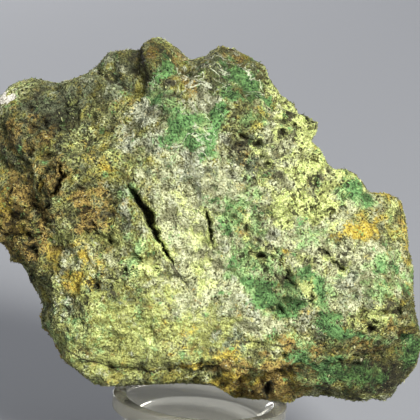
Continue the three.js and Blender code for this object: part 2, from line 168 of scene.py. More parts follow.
VUGS = [  # X, Z, half width, half height, turn in degrees, depth
    (8.8, -23.3, 0.7, 1.1, 5, 3.6), (8.2, -21.6, 0.3, 0.7, -25, 1.6), (7.6, -4.4, 1.0, 0.5, -25, 2.4),
    (11.2, -6.9, 0.5, 0.8, 15, 2.4), (9.4, -4.6, 0.4, 0.4, 0, 1.6), (5.5, -0.8, 0.4, 0.8, -10, 1.6),
    (16.8, -4.4, 0.8, 0.4, -15, 2), (17.9, -5.5, 0.6, 0.4, -40, 2), (18.7, -6.3, 0.6, 0.5, 0, 2.4),
    (15, 2, 0.5, 0.5, -40, 1.4), (16.6, 1.4, 0.9, 0.25, 30, 1.4), (11.1, 13.9, 0.8, 0.5, -10, 2),
    (12.5, 13.4, 0.7, 0.5, -20, 2), (10.5, 12.3, 0.6, 0.5, 0, 1.6), (5.4, 11.8, 0.9, 0.4, -30, 2),
    (7.1, 10.9, 0.8, 0.5, -20, 2), (3, 11, 0.4, 0.3, 0, 1.4), (5.2, 9, 0.7, 0.4, 0, 1.4),
    (8.5, 7.9, 0.6, 0.7, 0, 1.6), (7.8, 9.2, 0.5, 0.4, 0, 1.4), (12, -8.2, 0.6, 0.35, -20, 1.4),
    (14.4, -10, 0.25, 0.8, 10, 1.4), (10.4, -12.1, 0.9, 0.4, -35, 1.6), (8.9, -11.9, 0.4, 0.3, 0, 1.4),
    (26.3, -12.1, 0.8, 0.6, 0, 2), (22.7, -14.4, 0.8, 0.5, 0, 2), (23.4, -13.4, 0.5, 0.5, 30, 1.6),
    (24.2, -12.2, 0.4, 0.3, 0, 1.4), (21.1, -19.7, 0.8, 0.4, 0, 1.4), (24.6, -23.2, 1, 0.4, -5, 1.4),
    (-0.5, -20.1, 0.6, 0.4, 20, 1.6), (-0.5, -18.8, 0.3, 0.7, 0, 1.4), (10.8, -18, 0.5, 0.3, 0, 1.4),
    (-23.7, -3.7, 0.8, 0.6, 0, 2.4), (-24.4, -1.8, 1.1, 0.5, -30, 2), (-26.6, 1, 0.7, 1.1, 0, 2.4),
    (-12.9, -1.9, 0.4, 0.6, -20, 1.6), (-13.2, -2.9, 0.3, 0.5, 10, 1.4),
    (-10.9, -6.5, 0.6, 0.4, 0, 1.6), (-6.7, -6.6, 0.4, 0.4, 0, 1.4), (-16.5, 0.3, 0.4, 0.4, 0, 1.4),
    (-17.4, 1.4, 0.5, 0.4, 0, 1.4), (-16.4, -1.3, 0.4, 0.4, 0, 1.4), (-14, 0.9, 0.4, 0.4, 0, 1.4),
    (-14.7, 20.8, 0.6, 0.3, -20, 1.4), (-22.4, 13.6, 0.4, 0.7, 0, 1.4), (-26, 9, 0.7, 0.9, 0, 1.6),
    (-19.6, 16, 0.3, 0.8, 0, 1.4), (-25.3, 0.2, 0.7, 0.5, -50, 2), (-21.9, 9.2, 0.7, 0.5, 45, 1.8),
    (-22.5, 6, 1.1, 0.3, 80, 1.6), (-26.8, 7.8, 0.7, 0.4, -37, 1.8), (-27.6, -1.8, 0.6, 0.3, -12, 1.4),
    (-21.6, 0.2, 0.8, 0.3, -87, 1.6), (-24.3, 9.7, 0.5, 0.4, 67, 1.4),
    (-24.1, -7.3, 0.6, 0.4, -86, 1.6), (-24.3, 16.1, 0.7, 0.5, 73, 1.6),
    (-28.4, 13.3, 1, 0.5, -84, 1.6), (-23.3, 2.1, 0.6, 0.4, -52, 1.6), (-26.3, 4.6, 0.5, 0.4, -86, 1.6),
    (-17.3, 4.8, 0.7, 0.3, -31, 1.4), (-15, -8.8, 0.6, 0.4, 76, 1.4), (-22.9, 4.7, 0.5, 0.3, -58, 1.4),
    (-20.5, 13.6, 0.6, 0.4, 40, 1.4), (-24, 13.1, 0.6, 0.4, -39, 1.4), (3.2, 15.7, 0.6, 0.4, -19, 1.2),
    (-12.9, -20, 0.7, 0.4, -53, 1.4), (-4.8, -20.1, 0.7, 0.4, -6, 1.6),
    (18.7, -18.9, 0.5, 0.3, -31, 1.4), (-22.4, -14.1, 0.9, 0.4, -75, 1.4),
]
CRACKS = [  # path of X, Z, half width
    [(-14.6, 20.7, 0.14), (-13, 19.7, 0.2), (-11.4, 19, 0.2), (-10.7, 18.4, 0.16)],
    [(-15.5, 16.8, 0.1), (-15.7, 15.6, 0.18), (-15.9, 14.8, 0.1)],
    [(-8.9, 24, 0.2), (-8.5, 22, 0.22), (-8.2, 20.4, 0.16), (-8, 18.4, 0.1)],
    [(0.1, 2.2, 0.08), (0.6, 0.2, 0.2), (0.8, -1.4, 0.22), (1.3, -3.6, 0.1)],
    [(-20.4, 9.6, 0.12), (-20.1, 7.2, 0.18)],
    [(-16.4, 6.6, 0.06), (-15.2, 6, 0.14)],
    [(-17.1, 11, 0.06), (-16, 9.6, 0.1), (-15.2, 8.6, 0.06)],
    [(-4.6, -5, 0.16), (-3.4, -7.2, 0.14), (-2.4, -8.7, 0.1)],
    [(4, -16.4, 0.08), (5.4, -16.2, 0.12), (6.8, -16.1, 0.06)],
    [(9.3, -16.6, 0.08), (10.6, -16.7, 0.12), (11.9, -16.4, 0.1)],
    [(10.4, -19.2, 0.14), (10.6, -20.4, 0.2), (11.1, -21.6, 0.1)],
    [(-9.8, 4.9, 0.06), (-9.6, 6.4, 0.12), (-9.9, 7.6, 0.06)],
    [(-21.4, -16.6, 0.06), (-17, -18.6, 0.12), (-13, -19.8, 0.12), (-8, -20.3, 0.14), (-4, -19.9, 0.1)],
    [(2.9, -20.1, 0.14), (5.4, -19.8, 0.1), (8, -20.4, 0.06)],
]
print("lumps", len(LUMPS), "seams", len(SEAMS), "fissures", len(FISSURES), "vugs", len(VUGS),
      "cracks", len(CRACKS))

# %% [markdown]
# ## Repeatable unevenness
#
# Broken stone is uneven at every size. Three fields give that: a smooth one, a chipped one whose cells
# each have their own height and slope like the facets of a fracture, and a pitted one with a round
# hole in each cell. All start from a hash of a lattice corner, so each run gives the same rock.


# %% Hash and smooth field
def corner_value(i, j, k, seed):
    """A number from 0 to 1 for each lattice corner: its three whole numbers and a seed are
    multiplied by large odd numbers, mixed, and folded down."""
    i, j, k = (np.asarray(a).astype(np.int64).astype(np.uint32) for a in (i, j, k))
    h = i * np.uint32(0x27D4EB2D) ^ j * np.uint32(0x165667B1) ^ k * np.uint32(0x1E3779B1)
    h ^= np.uint32(seed * 0x05EBCA6B & 0xFFFFFFFF)
    h = (h ^ (h >> np.uint32(15))) * np.uint32(0x2C1B3C6D)
    h = (h ^ (h >> np.uint32(12))) * np.uint32(0x297A2D39)
    h ^= h >> np.uint32(15)
    return h / 4294967296.0


def smooth_step(x, low, high):
    """0 below low, 1 above high, and an S curve between."""
    t = np.clip((x - low) / (high - low), 0, 1)
    return t * t * (3 - 2 * t)


def soft_noise(p, size, seed):
    """Smooth field from -1 to 1: corner values blended between the eight corners round a point."""
    q = p / size
    cell = np.floor(q)
    blend = smooth_step(q - cell, 0, 1)
    total = 0
    for n in range(8):
        step = np.array([n & 1, n >> 1 & 1, n >> 2])
        share = np.abs(1 - step - blend).prod(axis=1)
        total = total + share * corner_value(*(cell + step).T, seed)
    return 2 * total - 1


# %% Chipped field and pitted field
CHIP_BLEND = 11


def cells_near(p, size, seed):
    """For each of the 27 cells round every point: the cell's numbers, and the way from the cell's
    jittered centre to the point, in cell sizes."""
    q = p / size
    cell = np.floor(q)
    for n in range(27):
        corner = (cell + np.array([n % 3 - 1, n // 3 % 3 - 1, n // 9 - 1])).T
        yield corner, [q[:, a] - corner[a] - corner_value(*corner, seed + a) for a in range(3)]


def chip_noise(p, size, seed, blend=CHIP_BLEND):
    """Chipped field, about -0.8 to 0.8: every near cell has a height and a slope, and the value is
    their mean, weighted by a bell curve on the distance to the cell's centre."""
    weights = np.full(len(p), 1e-9)
    total = np.zeros(len(p))
    for corner, away in cells_near(p, size, seed):
        slope = sum(away[a] * (2 * corner_value(*corner, seed + 3 + a) - 1) for a in range(3))
        weight = np.exp(-blend * sum(a * a for a in away))
        weights += weight
        total += weight * (slope + corner_value(*corner, seed + 6) - 0.5)
    return total / weights


def pit_noise(p, size, seed, small=0.14, large=0.46):
    """Round pits, 0 to 1: each cell holds a ball of its own radius, and the value rises from 0 on
    the ball's skin to 1 near its middle."""
    inside = np.zeros(len(p))
    for corner, away in cells_near(p, size, seed):
        radius = small + (large - small) * corner_value(*corner, seed + 6) ** 2
        inside = np.maximum(inside, 1 - sum(a * a for a in away) / radius**2)
    return smooth_step(inside, 0, 0.7)


# %% [markdown]
# ## The bare lump
#
# Every direction from the middle gets one distance. Toward the side it is the outline; toward the
# front and back it is the nearest broken face. Raising each limit to a high power and adding them
# keeps the smallest and rounds the corners slightly. Behind the outline the wall wears smooth.

# %% Distance from the middle
outline_turns = np.arctan2(OUTLINE[:, 1], OUTLINE[:, 0])
outline_starts = (outline_turns[0] - outline_turns) % (2 * np.pi)


def outline_radius(x, z):
    """Where a ray from the middle toward (x, z) crosses the outline: its stretch is found from the
    angle, then the ray is cut with the straight line between the stretch's two points."""
    turn = np.arctan2(z, x)
    along = (outline_turns[0] - turn) % (2 * np.pi)
    n = np.searchsorted(outline_starts, along, side="right") - 1
    a, b = OUTLINE[n], OUTLINE[(n + 1) % len(OUTLINE)]
    cross = a[:, 0] * b[:, 1] - a[:, 1] * b[:, 0]
    return cross / (np.cos(turn) * (b[:, 1] - a[:, 1]) - np.sin(turn) * (b[:, 0] - a[:, 0]))


RIM_SHARE = 1.005  # how far out the skin may reach, as a share of the outline
RIM_TAPER = 0.0026  # and what each mm of depth adds to that, as the view widens with distance
WORN_FAN = (-0.42, -0.28, -0.14, 0, 0.14, 0.28, 0.42)  # turns in radians that wear averages over
WORN_SHARE = 0.965  # size of the worn wall, as a share of that average


def broken_radius(d):
    """Distance to the bare skin along unit directions d: the soft minimum of the outline's wall and
    of the broken faces, (sum of (1 / limit) ** sharpness) ** (-1 / sharpness)."""
    turn = np.arctan2(d[:, 2], d[:, 0])
    worn = sum(outline_radius(np.cos(turn + s), np.sin(turn + s)) for s in WORN_FAN)
    worn = WORN_SHARE * worn / len(WORN_FAN)
    fresh = RIM_SHARE * outline_radius(d[:, 0], d[:, 2])
    back = smooth_step(d[:, 1], 0.06, 0.5)
    front = 0.5 * smooth_step(-d[:, 1], 0.3, 0.8)
    rim = fresh + (worn - fresh) * np.maximum(back, front)
    share = smooth_step(np.abs(d[:, 1]), 0, 0.14)
    total = (np.hypot(d[:, 0], d[:, 2]) / rim) ** EDGE_SHARPNESS
    for out, point in FACES:
        facing = np.maximum(d @ out, 0)
        total += share * (facing / (point @ out)) ** EDGE_SHARPNESS
    return total ** (-1 / EDGE_SHARPNESS)


# %% [markdown]
# ## Relief of the front
#
# The named features move points straight toward or away from the viewer, so each stays where the
# plan puts it. A fissure is a deep steep trench along its path, and a vug a small steep bowl. A little
# noise on the place where they are looked up makes their lips ragged, as torn stone is. How far a
# point lies inside an opening is kept as a number, because the material paints shade into them too.


# %% Lumps, seams, trenches and bowls
def to_path(path, x, z):
    """Distance from (x, z) to a path of points, the third number of the path (or 0) there, and the
    side of the path that (x, z) is on, -1 or 1."""
    best, value, side = np.full(len(x), np.inf), np.zeros(len(x)), np.ones(len(x))
    for a, b in zip(path[:-1], path[1:]):
        dx, dz = b[0] - a[0], b[1] - a[1]
        t = np.clip(((x - a[0]) * dx + (z - a[1]) * dz) / (dx * dx + dz * dz), 0, 1)
        away = np.hypot(x - a[0] - t * dx, z - a[1] - t * dz)
        closer = away < best
        best = np.where(closer, away, best)
        side = np.where(closer, np.sign((x - a[0]) * dz - (z - a[1]) * dx), side)
        if len(a) > 2:
            value = np.where(closer, a[2] + t * (b[2] - a[2]), value)
    return best, value, side


def in_ellipse(x, z, cx, cz, half_x, half_z, turn=0):
    """Distance from an ellipse's middle, as 1 on its edge."""
    c, s = np.cos(np.radians(turn)), np.sin(np.radians(turn))
    across = (c * (x - cx) + s * (z - cz)) / half_x
    along = (c * (z - cz) - s * (x - cx)) / half_z
    return np.hypot(across, along)


def front_relief(x, z):
    """Rise toward the viewer in mm: bell-shaped lumps plus bell-shaped ridges along the seams."""
    rise = np.zeros(len(x))
    for cx, cz, half_x, half_z, turn, height in LUMPS:
        rise += height * np.exp(-0.5 * in_ellipse(x, z, cx, cz, half_x, half_z, turn) ** 3)
    for path, half_width, height in SEAMS:
        away, _, _ = to_path(path, x, z)
        rise += height * np.exp(-((away / half_width) ** 2))
    return rise


NARROWING = 1.25  # crumbs close a fissure most where it is narrow: its half width to this power
FULL_DEPTH_FROM = 0.16  # half width in mm from which a fissure has its full depth


def openings(p):
    """Depth in mm of the fissures and vugs at points p: full inside, falling to 0 over a ragged
    lip about 0.3 mm wide. Also how far p is inside the nearest one, in mm, less than 0 outside."""
    ragged = 0.55 * soft_noise(p, 1.6, 165) + 0.4 * soft_noise(p, 0.8, 166)
    x = p[:, 0] + 0.3 * soft_noise(p, 1.3, 161) + 0.22 * soft_noise(p, 0.6, 162)
    z = p[:, 2] + 0.3 * soft_noise(p, 1.3, 163) + 0.22 * soft_noise(p, 0.6, 164)
    depth, within = np.zeros(len(x)), np.full(len(x), -1.0)
    for path, full in FISSURES:
        away, half_width, _ = to_path(path, x, z)
        open_half = half_width**NARROWING * (1 + 0.5 * ragged)
        reach = full * np.clip(open_half / FULL_DEPTH_FROM, 0, 1)
        depth = np.maximum(depth, reach * smooth_step(open_half - away, -0.14, 0.22))
        within = np.maximum(within, open_half - away)
    for cx, cz, half_x, half_z, turn, full in VUGS:
        inside = in_ellipse(x, z, cx, cz, half_x, half_z, turn) + 0.7 * ragged
        depth = np.maximum(depth, 0.8 * full * smooth_step(-inside, -1.25, -0.3))
        within = np.maximum(within, (1 - inside) * min(half_x, half_z))
    return depth, within


NO_CRACK = -0.5  # stored as half width where no crack is near


def hairlines(p):
    """Two numbers that draw the cracks too fine for the mesh: the distance in mm to the nearest
    one, less than 0 on one side of it, and its half width. The first passes straight through 0 at
    the crack, so the material can draw a line much thinner than a face."""
    x = p[:, 0] + 0.25 * soft_noise(p, 1.4, 167)
    z = p[:, 2] + 0.25 * soft_noise(p, 1.4, 168)
    nearest, beside = np.ones(len(x)), np.ones(len(x))
    half = np.full(len(x), NO_CRACK)
    for path in CRACKS:
        away, half_width, side = to_path(path, x, z)
        closer = away < nearest
        nearest = np.where(closer, away, nearest)
        beside = np.where(closer, away * side, beside)
        half = np.where(closer, half_width, half)
    return beside, half


# %% [markdown]
# ## Where each mineral lies
#
# Several minerals share the surface. Each is a set of soft oval patches in the flat frame of the front;
# away from the front, where nothing is known, smooth noise takes over. Real patches have no neat edge,
# so the place is first pushed about by noise. One number per mineral is kept on every point of the
# mesh, and the material later sharpens it into a ragged edge. "Pitted" says where the stone is full
# of small holes, "face_shade" where shade is painted on faces turned from the light, and "veined"
# where quartz threads cross it.

# %% Mineral patches
PATCHES = {  # X, Z, half width, half height, turn in degrees, strength
    "cream": [
        (-4, 7, 5.5, 6, 0, 0.7), (1, -2, 6, 10, 0, 1.3), (-4.5, -1, 2.6, 6, 20, 1),
        (13, 0, 10, 7, 0, 0.95), (19, -7, 9, 6, 0, 0.85), (11, 11, 5, 7, -30, 0.75),
        (0, 15, 5, 6, 0, 0.35), (-1, -13, 6, 6.5, 0, 0.7), (-13, -6, 6, 4, 0, 0.5),
        # The cream patches at X 12.3 and 14.9, Z 0 are partly painted light: pale stone, made stronger
        # to lift the shade on the downward faces under the lump at X 13.5, Z 2.4.
        (6, -12.4, 7, 3.4, -40, 0.8), (-16, 11, 4, 2, 0, 0.3), (14.9, 0.3, 3, 2, 0, 1.2),
        (12.3, 0.2, 3.4, 1.8, 0, 1.4), (14.6, -5.2, 2.4, 1.6, 0, 1.2), (0.7, 0.4, 2, 1.8, 0, 1.4),
        (3.5, -5.4, 2, 1.8, 0, 1.1), (0.7, -5.4, 1.8, 2, 0, 1.4), (9.2, 0.3, 2.2, 1.6, 0, 1.2),
        (-16.3, -5.2, 2.2, 1.8, 0, 0.9), (-5, -8.2, 2, 1.8, 0, 1.1), (0.7, 17.4, 1.6, 1.4, 0, 0.9),
        (3.5, 0.3, 2, 1.6, 0, 1), (9.2, -2.6, 2, 1.8, 0, 1.1), (12.4, -5.2, 1.8, 1.4, 0, 1.1),
    ],
    "straw": [
        (-10.6, -15.5, 9, 5, 5, 0.9), (-15, -10, 5, 5, 0, 0.6), (-2, -16, 7, 4.4, 0, 0.8),
        (-18.5, -17, 4, 4, 0, 0.7), (-9, -9, 6, 4, 0, 0.6), (-12, 8, 4, 2, 0, 0.45),
        (-7, -3, 3, 5, 0, 0.4), (3.6, -17, 3.6, 1.8, 0, 1), (6.6, -16.8, 3, 1.6, 0, 0.9),
        (-19.2, -2.6, 2, 1.6, 0, 0.8), (-13.5, -2.6, 1.8, 1.4, 0, 0.8), (-27.7, -2.6, 1.6, 1.6, 0, 0.6),
    ],
    "slate": [
        (-21, 15.5, 5, 4, 0, 0.85), (-13.4, 18.6, 5, 3, 0, 0.6), (-6.4, 17, 2.4, 4, 0, 0.6),
        (-5, 10, 5, 3, 0, 0.5), (3, 21, 4, 3, 0, 0.55), (-12, 22.6, 3, 1.6, 0, 0.7),
        (-13.4, -9.4, 3, 1.8, -20, 0.6), (-11, 0.4, 1.4, 3, 10, 0.5), (7, 8.6, 4, 3, -30, 0.6),
        (14.4, 5, 2.6, 2, -30, 0.5), (-25, 8, 3, 4, 0, 0.4), (20, -10.4, 3, 2, -30, 0.5),
        (3, 4.6, 1.6, 2.4, 0, 0.4), (-18.4, -11, 1.4, 1.4, 0, 0.6), (20.6, -8.2, 2.2, 1.6, 0, 0.6),
        (-2.1, 6, 1.8, 1.6, 0, 0.65), (3.6, -16.6, 3, 1.6, 0, 0.6), (0.7, 6, 1.6, 1.6, 0, 0.5),
    ],
    "mint": [
        (-1.6, 13, 4.4, 4.4, 0, 0.9), (4.7, 19, 4.4, 4, -20, 0.7), (-9.4, -4.6, 2, 6, 8, 0.65),
        (3.5, 1, 4.4, 4.4, 0, 0.75), (7, -6, 4, 5, 30, 0.8), (13, -9, 5, 4, 0, 0.75),
        (15, -2.4, 4, 3, 0, 0.6), (20.5, 4, 3, 2, -30, 0.9), (25, -7.5, 3.5, 4, 0, 0.7),
        (14, -17, 4, 3, -40, 0.6), (-18, -15, 5, 5, 0, 0.55), (-3.4, -17, 5, 2, 0, 0.45),
        (-18, 14, 3.4, 4, 0, 0.35), (-6, 17.5, 2, 3, 0, 0.6), (20, -21, 7, 3, 0, 0.6),
        (6, 5, 4, 3, 0, 0.45), (-6, -11, 5, 3, 0, 0.4), (12.6, -8.2, 1.8, 1.4, 0, 1),
        (3.5, 0.3, 2.4, 1.8, 0, 1.1), (23.4, -16.6, 2.4, 1.4, 0, 0.8), (23.4, -5.4, 2, 1.6, 0, 0.8),
        (6.4, 14.5, 1.8, 1.4, 0, 0.75), (-10.6, 3.4, 1.6, 1.6, 0, 0.9),
    ],
    "green": [
        (-5.7, 21.6, 1.2, 1.6, 0, 1), (5.2, 20, 2.6, 1.3, -25, 1), (6.6, 18.2, 2, 1.2, -40, 0.95),
        (3.4, 17.4, 1.4, 1.2, 0, 0.8), (-4, 12.2, 1.8, 1.8, 0, 0.9), (1.9, 15, 1.1, 3.1, -25, 1.1),
        (-1, 10.9, 1.9, 1.3, 0, 0.95), (0.4, 11.4, 1.3, 1.8, 0, 0.9), (-6.7, 16.2, 0.9, 1.4, 0, 0.6),
        (-2.6, 13.6, 2.2, 1.2, 0, 0.8), (8.6, 17.2, 1.1, 0.8, -30, 0.9), (2.1, 3.4, 2.2, 1.2, 0, 0.55),
        (6.4, 2.4, 1.2, 1, 0, 0.3), (2.9, -1.3, 1.3, 1.5, 0, 0.55), (4.8, -6.2, 1.1, 1.4, -10, 0.7),
        (8.2, -9, 1.6, 3.4, 35, 1.1), (11.2, -11.6, 1.8, 1.4, 0, 0.75), (14.9, -8.4, 1.3, 2.6, 25, 0.7),
        (12.4, -7, 1.6, 1.2, 0, 0.6), (14.2, -1.5, 1.2, 1.2, 0, 0.4), (20.6, 4.4, 2, 1.2, -35, 0.7),
        (18.2, -14.6, 1.5, 3.2, 50, 0.85), (20, -21.5, 4.2, 1.7, 0, 0.85),
        (29, -18.2, 1.2, 3.1, 0, 0.75), (13.2, -18.6, 1.6, 1.5, 0, 0.8), (28, -8.9, 1.1, 1.7, 0, 0.4),
        (25, -6.7, 2, 1.7, 0, 0.5), (16.8, -19.6, 2.4, 1.2, 0, 0.7), (-19.4, 12.4, 1.2, 1.2, 0, 0.3),
    ],
    "crust": [
        (12.1, 15.9, 2.8, 1.8, -40, 1), (13.9, 12.6, 2, 2.3, 0, 1.05), (13.5, 7.4, 3.7, 3.7, 30, 0.75),
        (14.5, 2.4, 4, 2.6, 15, 1.1), (11.4, 2.4, 3.1, 2.3, 0, 0.9), (19.2, 6.2, 2.8, 1.4, -20, 1.1),
        (11.5, -0.4, 2.4, 1.4, 0, 0.8), (16.6, 9.2, 1.6, 2, -20, 1.05), (23, -13.3, 3.4, 1.5, 0, 0.9),
        (8.1, 5.3, 2.8, 2, 0, 0.6), (9.9, 20, 1.2, 2.8, -30, 0.7), (-3, 3, 3, 4, 0, 0.4),
        (-0.4, -4, 1.8, 6, 8, 0.6), (26.6, 0.6, 1.6, 2.6, 0, 0.5), (-8, -17, 5, 2, 5, 0.4),
        # The crust patch at X 14.9, Z 0.3 is partly painted light that lifts the shade under the lump
        # above it.
        (14.9, 0.3, 2.4, 1.6, 0, 0.8), (14.6, -5.2, 1.6, 1, 0, 0.7), (0.6, -0.2, 1.6, 1.4, 0, 0.6),
        (0.4, -5.6, 1.4, 1.6, 0, 0.7), (-7.8, -5.4, 1.6, 1.6, 0, 0.6), (13.6, -8.6, 1.5, 1.2, 0, 0.9),
        (-7.8, -13.9, 2.4, 1.4, 0, 0.5), (-16.3, -13.9, 2, 1.6, 0, 0.5),
    ],
    "pale": [
        (0, 23, 0.6, 2, 0, 0.7), (-1.1, 19.5, 0.6, 2.6, -10, 0.8), (-1.7, 14.5, 0.5, 3.1, 0, 0.8),
        (-0.9, 8.1, 0.7, 3.1, 8, 0.8), (0, 3.8, 0.6, 2, 5, 0.7), (-12.5, 22.2, 2.3, 1.7, 0, 0.6),
        (-5.7, 11, 4, 2.4, 0, 0.5), (-2.6, 6.5, 3, 3.4, 0, 0.6), (3.6, 8.4, 2.6, 2, 0, 0.5),
        (5, -9.7, 5.1, 1.2, -48, 0.65), (19.9, -9, 3, 2.4, 0, 0.5), (14.2, -13.9, 5.1, 1.6, -25, 0.5),
        (-10.8, 0.6, 0.8, 4, 12, 0.6), (7, -15.6, 5, 1, -35, 0.4), (-18.8, -11, 1.2, 1.6, 0, 0.6),
        (-19, -6, 0.8, 2.6, 0, 0.55), (-14, -21, 2.6, 0.8, -20, 0.5), (2.4, -4.4, 2, 3, 0, 0.45),
        (11, 8.4, 2, 2, 0, 0.4), (-7.8, 14.5, 2.2, 1.6, 0, 0.9), (0.7, 17.3, 1.8, 1.8, 0, 1.2),
        (3.4, 11.8, 1.6, 1.2, 0, 0.7), (-10.6, 11.6, 2, 1.4, 0, 0.7), (9.2, -2, 2, 1.8, 0, 0.6),
        (12.4, -5.2, 1.6, 1.2, 0, 0.5), (-16.3, 20, 2, 1, 0, 0.65),
    ],
    "white": [(-29, 17.2, 3.2, 1.0, 52, 1.4)],
    "ochre": [
        (20.6, -1, 2.6, 1.6, 10, 1.1), (23.4, 0.2, 1.8, 1.4, 0, 0.8), (-17.5, -9.2, 1.6, 0.5, -28, 0.9),
        (-21.6, -4.4, 1.3, 2.6, 25, 0.8), (-2.6, -19.2, 3, 1.1, 0, 0.75),
        (5.9, 23.1, 1.4, 0.8, -30, 0.8), (-3.3, -15, 3, 3, 0, 0.35), (1.8, -17.8, 4, 1.4, 0, 0.5),
        (-15.6, -5.2, 3.4, 2, 0, 0.5), (28, -3.3, 1.1, 5.4, 0, 0.65), (4.6, -22.3, 3.4, 1.6, 0, 1.1),
        (-27.4, 4.5, 2.8, 4.3, 0, 0.6), (-14.4, 9, 2.6, 2.4, 0, 0.38), (-5.6, 24.6, 1.6, 1, 0, 0.6),
        (25.8, 2.8, 2, 1, 0, 0.7), (-11, -14.8, 1.6, 0.8, 0, 0.4), (8, 14.6, 1.6, 0.8, 0, 0.45),
        (10.6, -4.2, 2.4, 0.7, -40, 0.45), (7.5, -23, 5.4, 2.4, 0, 0.9), (-23.6, 9, 2, 1.6, 0, 0.4),
        (27.6, -11, 1, 1, 0, 0.5), (-15.4, 2.6, 2.4, 2.4, 0, 0.4), (-21.6, 6, 2, 3, -20, 0.45),
        (-26, -1.4, 3, 4, 0, 0.6), (-16.6, -8.2, 2.2, 1.4, -20, 0.7),
    ],
    "brown": [
        (-15.4, 1.8, 3, 3.5, 0, 0.8), (-24.8, 0.3, 5.1, 7.1, 0, 0.68), (-20.6, 5.3, 2.8, 3.4, 0, 0.7),
        (-25.4, 12, 3, 4.3, 0, 0.6), (-2.1, 18.7, 1.6, 1.8, 0, 0.7), (4.4, 22.8, 2.6, 1.2, -30, 0.6),
        (-8, 23.4, 0.8, 2.4, 0, 0.7), (8.6, -23.4, 4.4, 2, 0, 1.05), (13.5, -23.6, 2.8, 1.4, 0, 0.85),
        (5.6, 10.6, 2.6, 2, -20, 0.38), (12.4, -19.9, 3.4, 1.4, 0, 0.5), (27.6, -5, 1.2, 5, 0, 0.45),
        (-11, 15.4, 2, 1.2, 0, 0.35), (5, -1.4, 1.2, 1.4, 0, 0.3), (22, -17.8, 4.3, 1.4, 0, 0.6),
        (-3.5, 22.7, 1.7, 1.7, 0, 0.6), (-19, -20.4, 3, 0.8, -38, 0.6), (26.6, -14, 1.6, 2, 0, 0.55),
        (12.1, -17.2, 2.4, 1.6, -30, 0.6), (9.2, -19.6, 2.6, 1.6, 0, 0.75),
        (3.5, -19.6, 3, 1.2, 0, 0.75), (15, -16.8, 2, 1.4, -30, 0.65),
    ],
    # Dark patches are partly dark stone and partly painted shade: those on the lower right, whose faces
    # turn down, and those that sit on vugs.
    "dark": [
        (-7, 24, 2.6, 2.2, 0, 0.5), (0.4, 21.4, 1.6, 1.2, 0, 0.5), (5.6, 11.2, 2, 0.9, -25, 0.75),
        (7.2, 9.6, 3, 3, 0, 0.35), (-10, 21.5, 4, 3.4, 0, 0.5), (26, -18, 5, 2.4, 0, 0.55),
        (24, -22, 7, 4, 0, 0.75), (2, 21, 4, 3, 0, 0.5), (29, -19, 2, 6, 0, 0.75),
        (-10, 23, 2, 1.6, 0, 0.5), (15, -21.5, 4, 3, 0, 0.6), (16.5, -14.5, 3, 3, 50, 0.45),
        (12.2, 15, 1.6, 0.7, -35, 0.8), (8.8, 6.9, 1.2, 1.3, 0, 0.75), (15.2, 6.2, 1.6, 1.1, -30, 0.6),
        (7.9, -4, 1.8, 0.5, -35, 0.85), (10.4, -7, 1.2, 0.8, -40, 0.9),
        (16.6, -4.5, 1.4, 0.5, -35, 0.8), (18.9, -6.6, 0.8, 0.6, 0, 0.9),
        (-23.9, -2.6, 1.6, 1, 0, 0.65), (-26.6, 1, 1.3, 1.6, 0, 0.55), (-13.8, 1.2, 2, 1.2, -60, 0.5),
        (-26.4, -6.6, 1.8, 2.2, 30, 0.9), (-20.3, 4.6, 0.6, 2.4, -40, 0.6),
        (-11.6, -1.6, 0.8, 2, 0, 0.45), (-13.2, -9.4, 1.8, 1, -25, 0.55), (-17.3, -11.6, 1, 1, 0, 0.5),
        (6.8, -1.8, 1, 1.2, 0, 0.7), (8.9, -23.3, 0.9, 1.1, 0, 1), (27, -22.6, 4, 2.4, 40, 0.8),
        (29.4, -18, 1.1, 3.4, 0, 0.5), (-0.1, -19.3, 0.9, 0.7, 0, 0.5), (-4.8, -20, 1, 0.5, 0, 0.75),
        (-20.4, 13.6, 3.4, 3.4, 0, 0.5), (-27.2, 9.6, 2.4, 2.6, 0, 0.65), (-9, 22.4, 0.6, 3, 0, 0.35),
        (20.4, -18, 5, 1.4, 0, 0.55), (-12.5, 21, 3, 1, 0, 0.4), (-24, 18.4, 3, 1.6, 0, 0.5),
        (22.8, -14.6, 1.6, 0.8, 0, 0.5), (26, -12.4, 1, 0.6, 0, 0.7), (-8.4, -7.4, 0.5, 0.5, 0, 0.7),
        (-10.8, -6.6, 0.6, 1, -20, 0.7), (12.1, 11.6, 1.6, 1.3, 0, 0.65),
        (-4.6, 19.4, 1.8, 1.6, 0, 0.75), (12.6, -16.8, 2.6, 1.2, -30, 0.45),
        (-5, 17.3, 1.6, 1.4, 0, 0.55), (-10.6, 17.3, 1.8, 1.4, 0, 0.55),
    ],
    "pitted": [
        (6.4, 10.2, 4, 4, 0, 1), (12.8, 11.6, 3, 5, 0, 0.9), (14.9, 3.8, 5, 3.5, 20, 1),
        (8.6, -4.7, 3, 3, 0, 1), (17, -5.1, 3, 2, 0, 1), (22.7, -13.6, 3, 1.6, 0, 0.9),
        (-24.8, -0.4, 4.4, 5.4, 0, 1.1), (-14.9, 1.7, 3.6, 3.4, 0, 0.9), (-10.9, -6.1, 2, 1.6, 0, 0.8),
        (-14.2, -9.6, 2.4, 1.8, 0, 0.9), (6.4, -23.1, 4, 2, 0, 0.6), (-21, 12, 7, 6, 0, 0.6),
        (-0.7, -18.9, 2.5, 1.3, 0, 0.8), (-4, 5, 5, 6, 0, 0.35), (22, -20, 6, 3, 0, 0.4),
        (3.6, -1, 3, 3, 0, 0.6), (10, 0.5, 4, 3, 0, 0.6), (-19.6, -13, 3, 4, 0, 0.5),
    ],
    # Painted shade, mostly on faces along the top, the bottom and the lower right that turn away from
    # the light.
    "face_shade": [
        (-22, 16, 9, 5, 0, 0.75), (-9.5, 23, 6, 3, 0, 0.9), (0.5, 20, 5, 5, 0, 0.8),
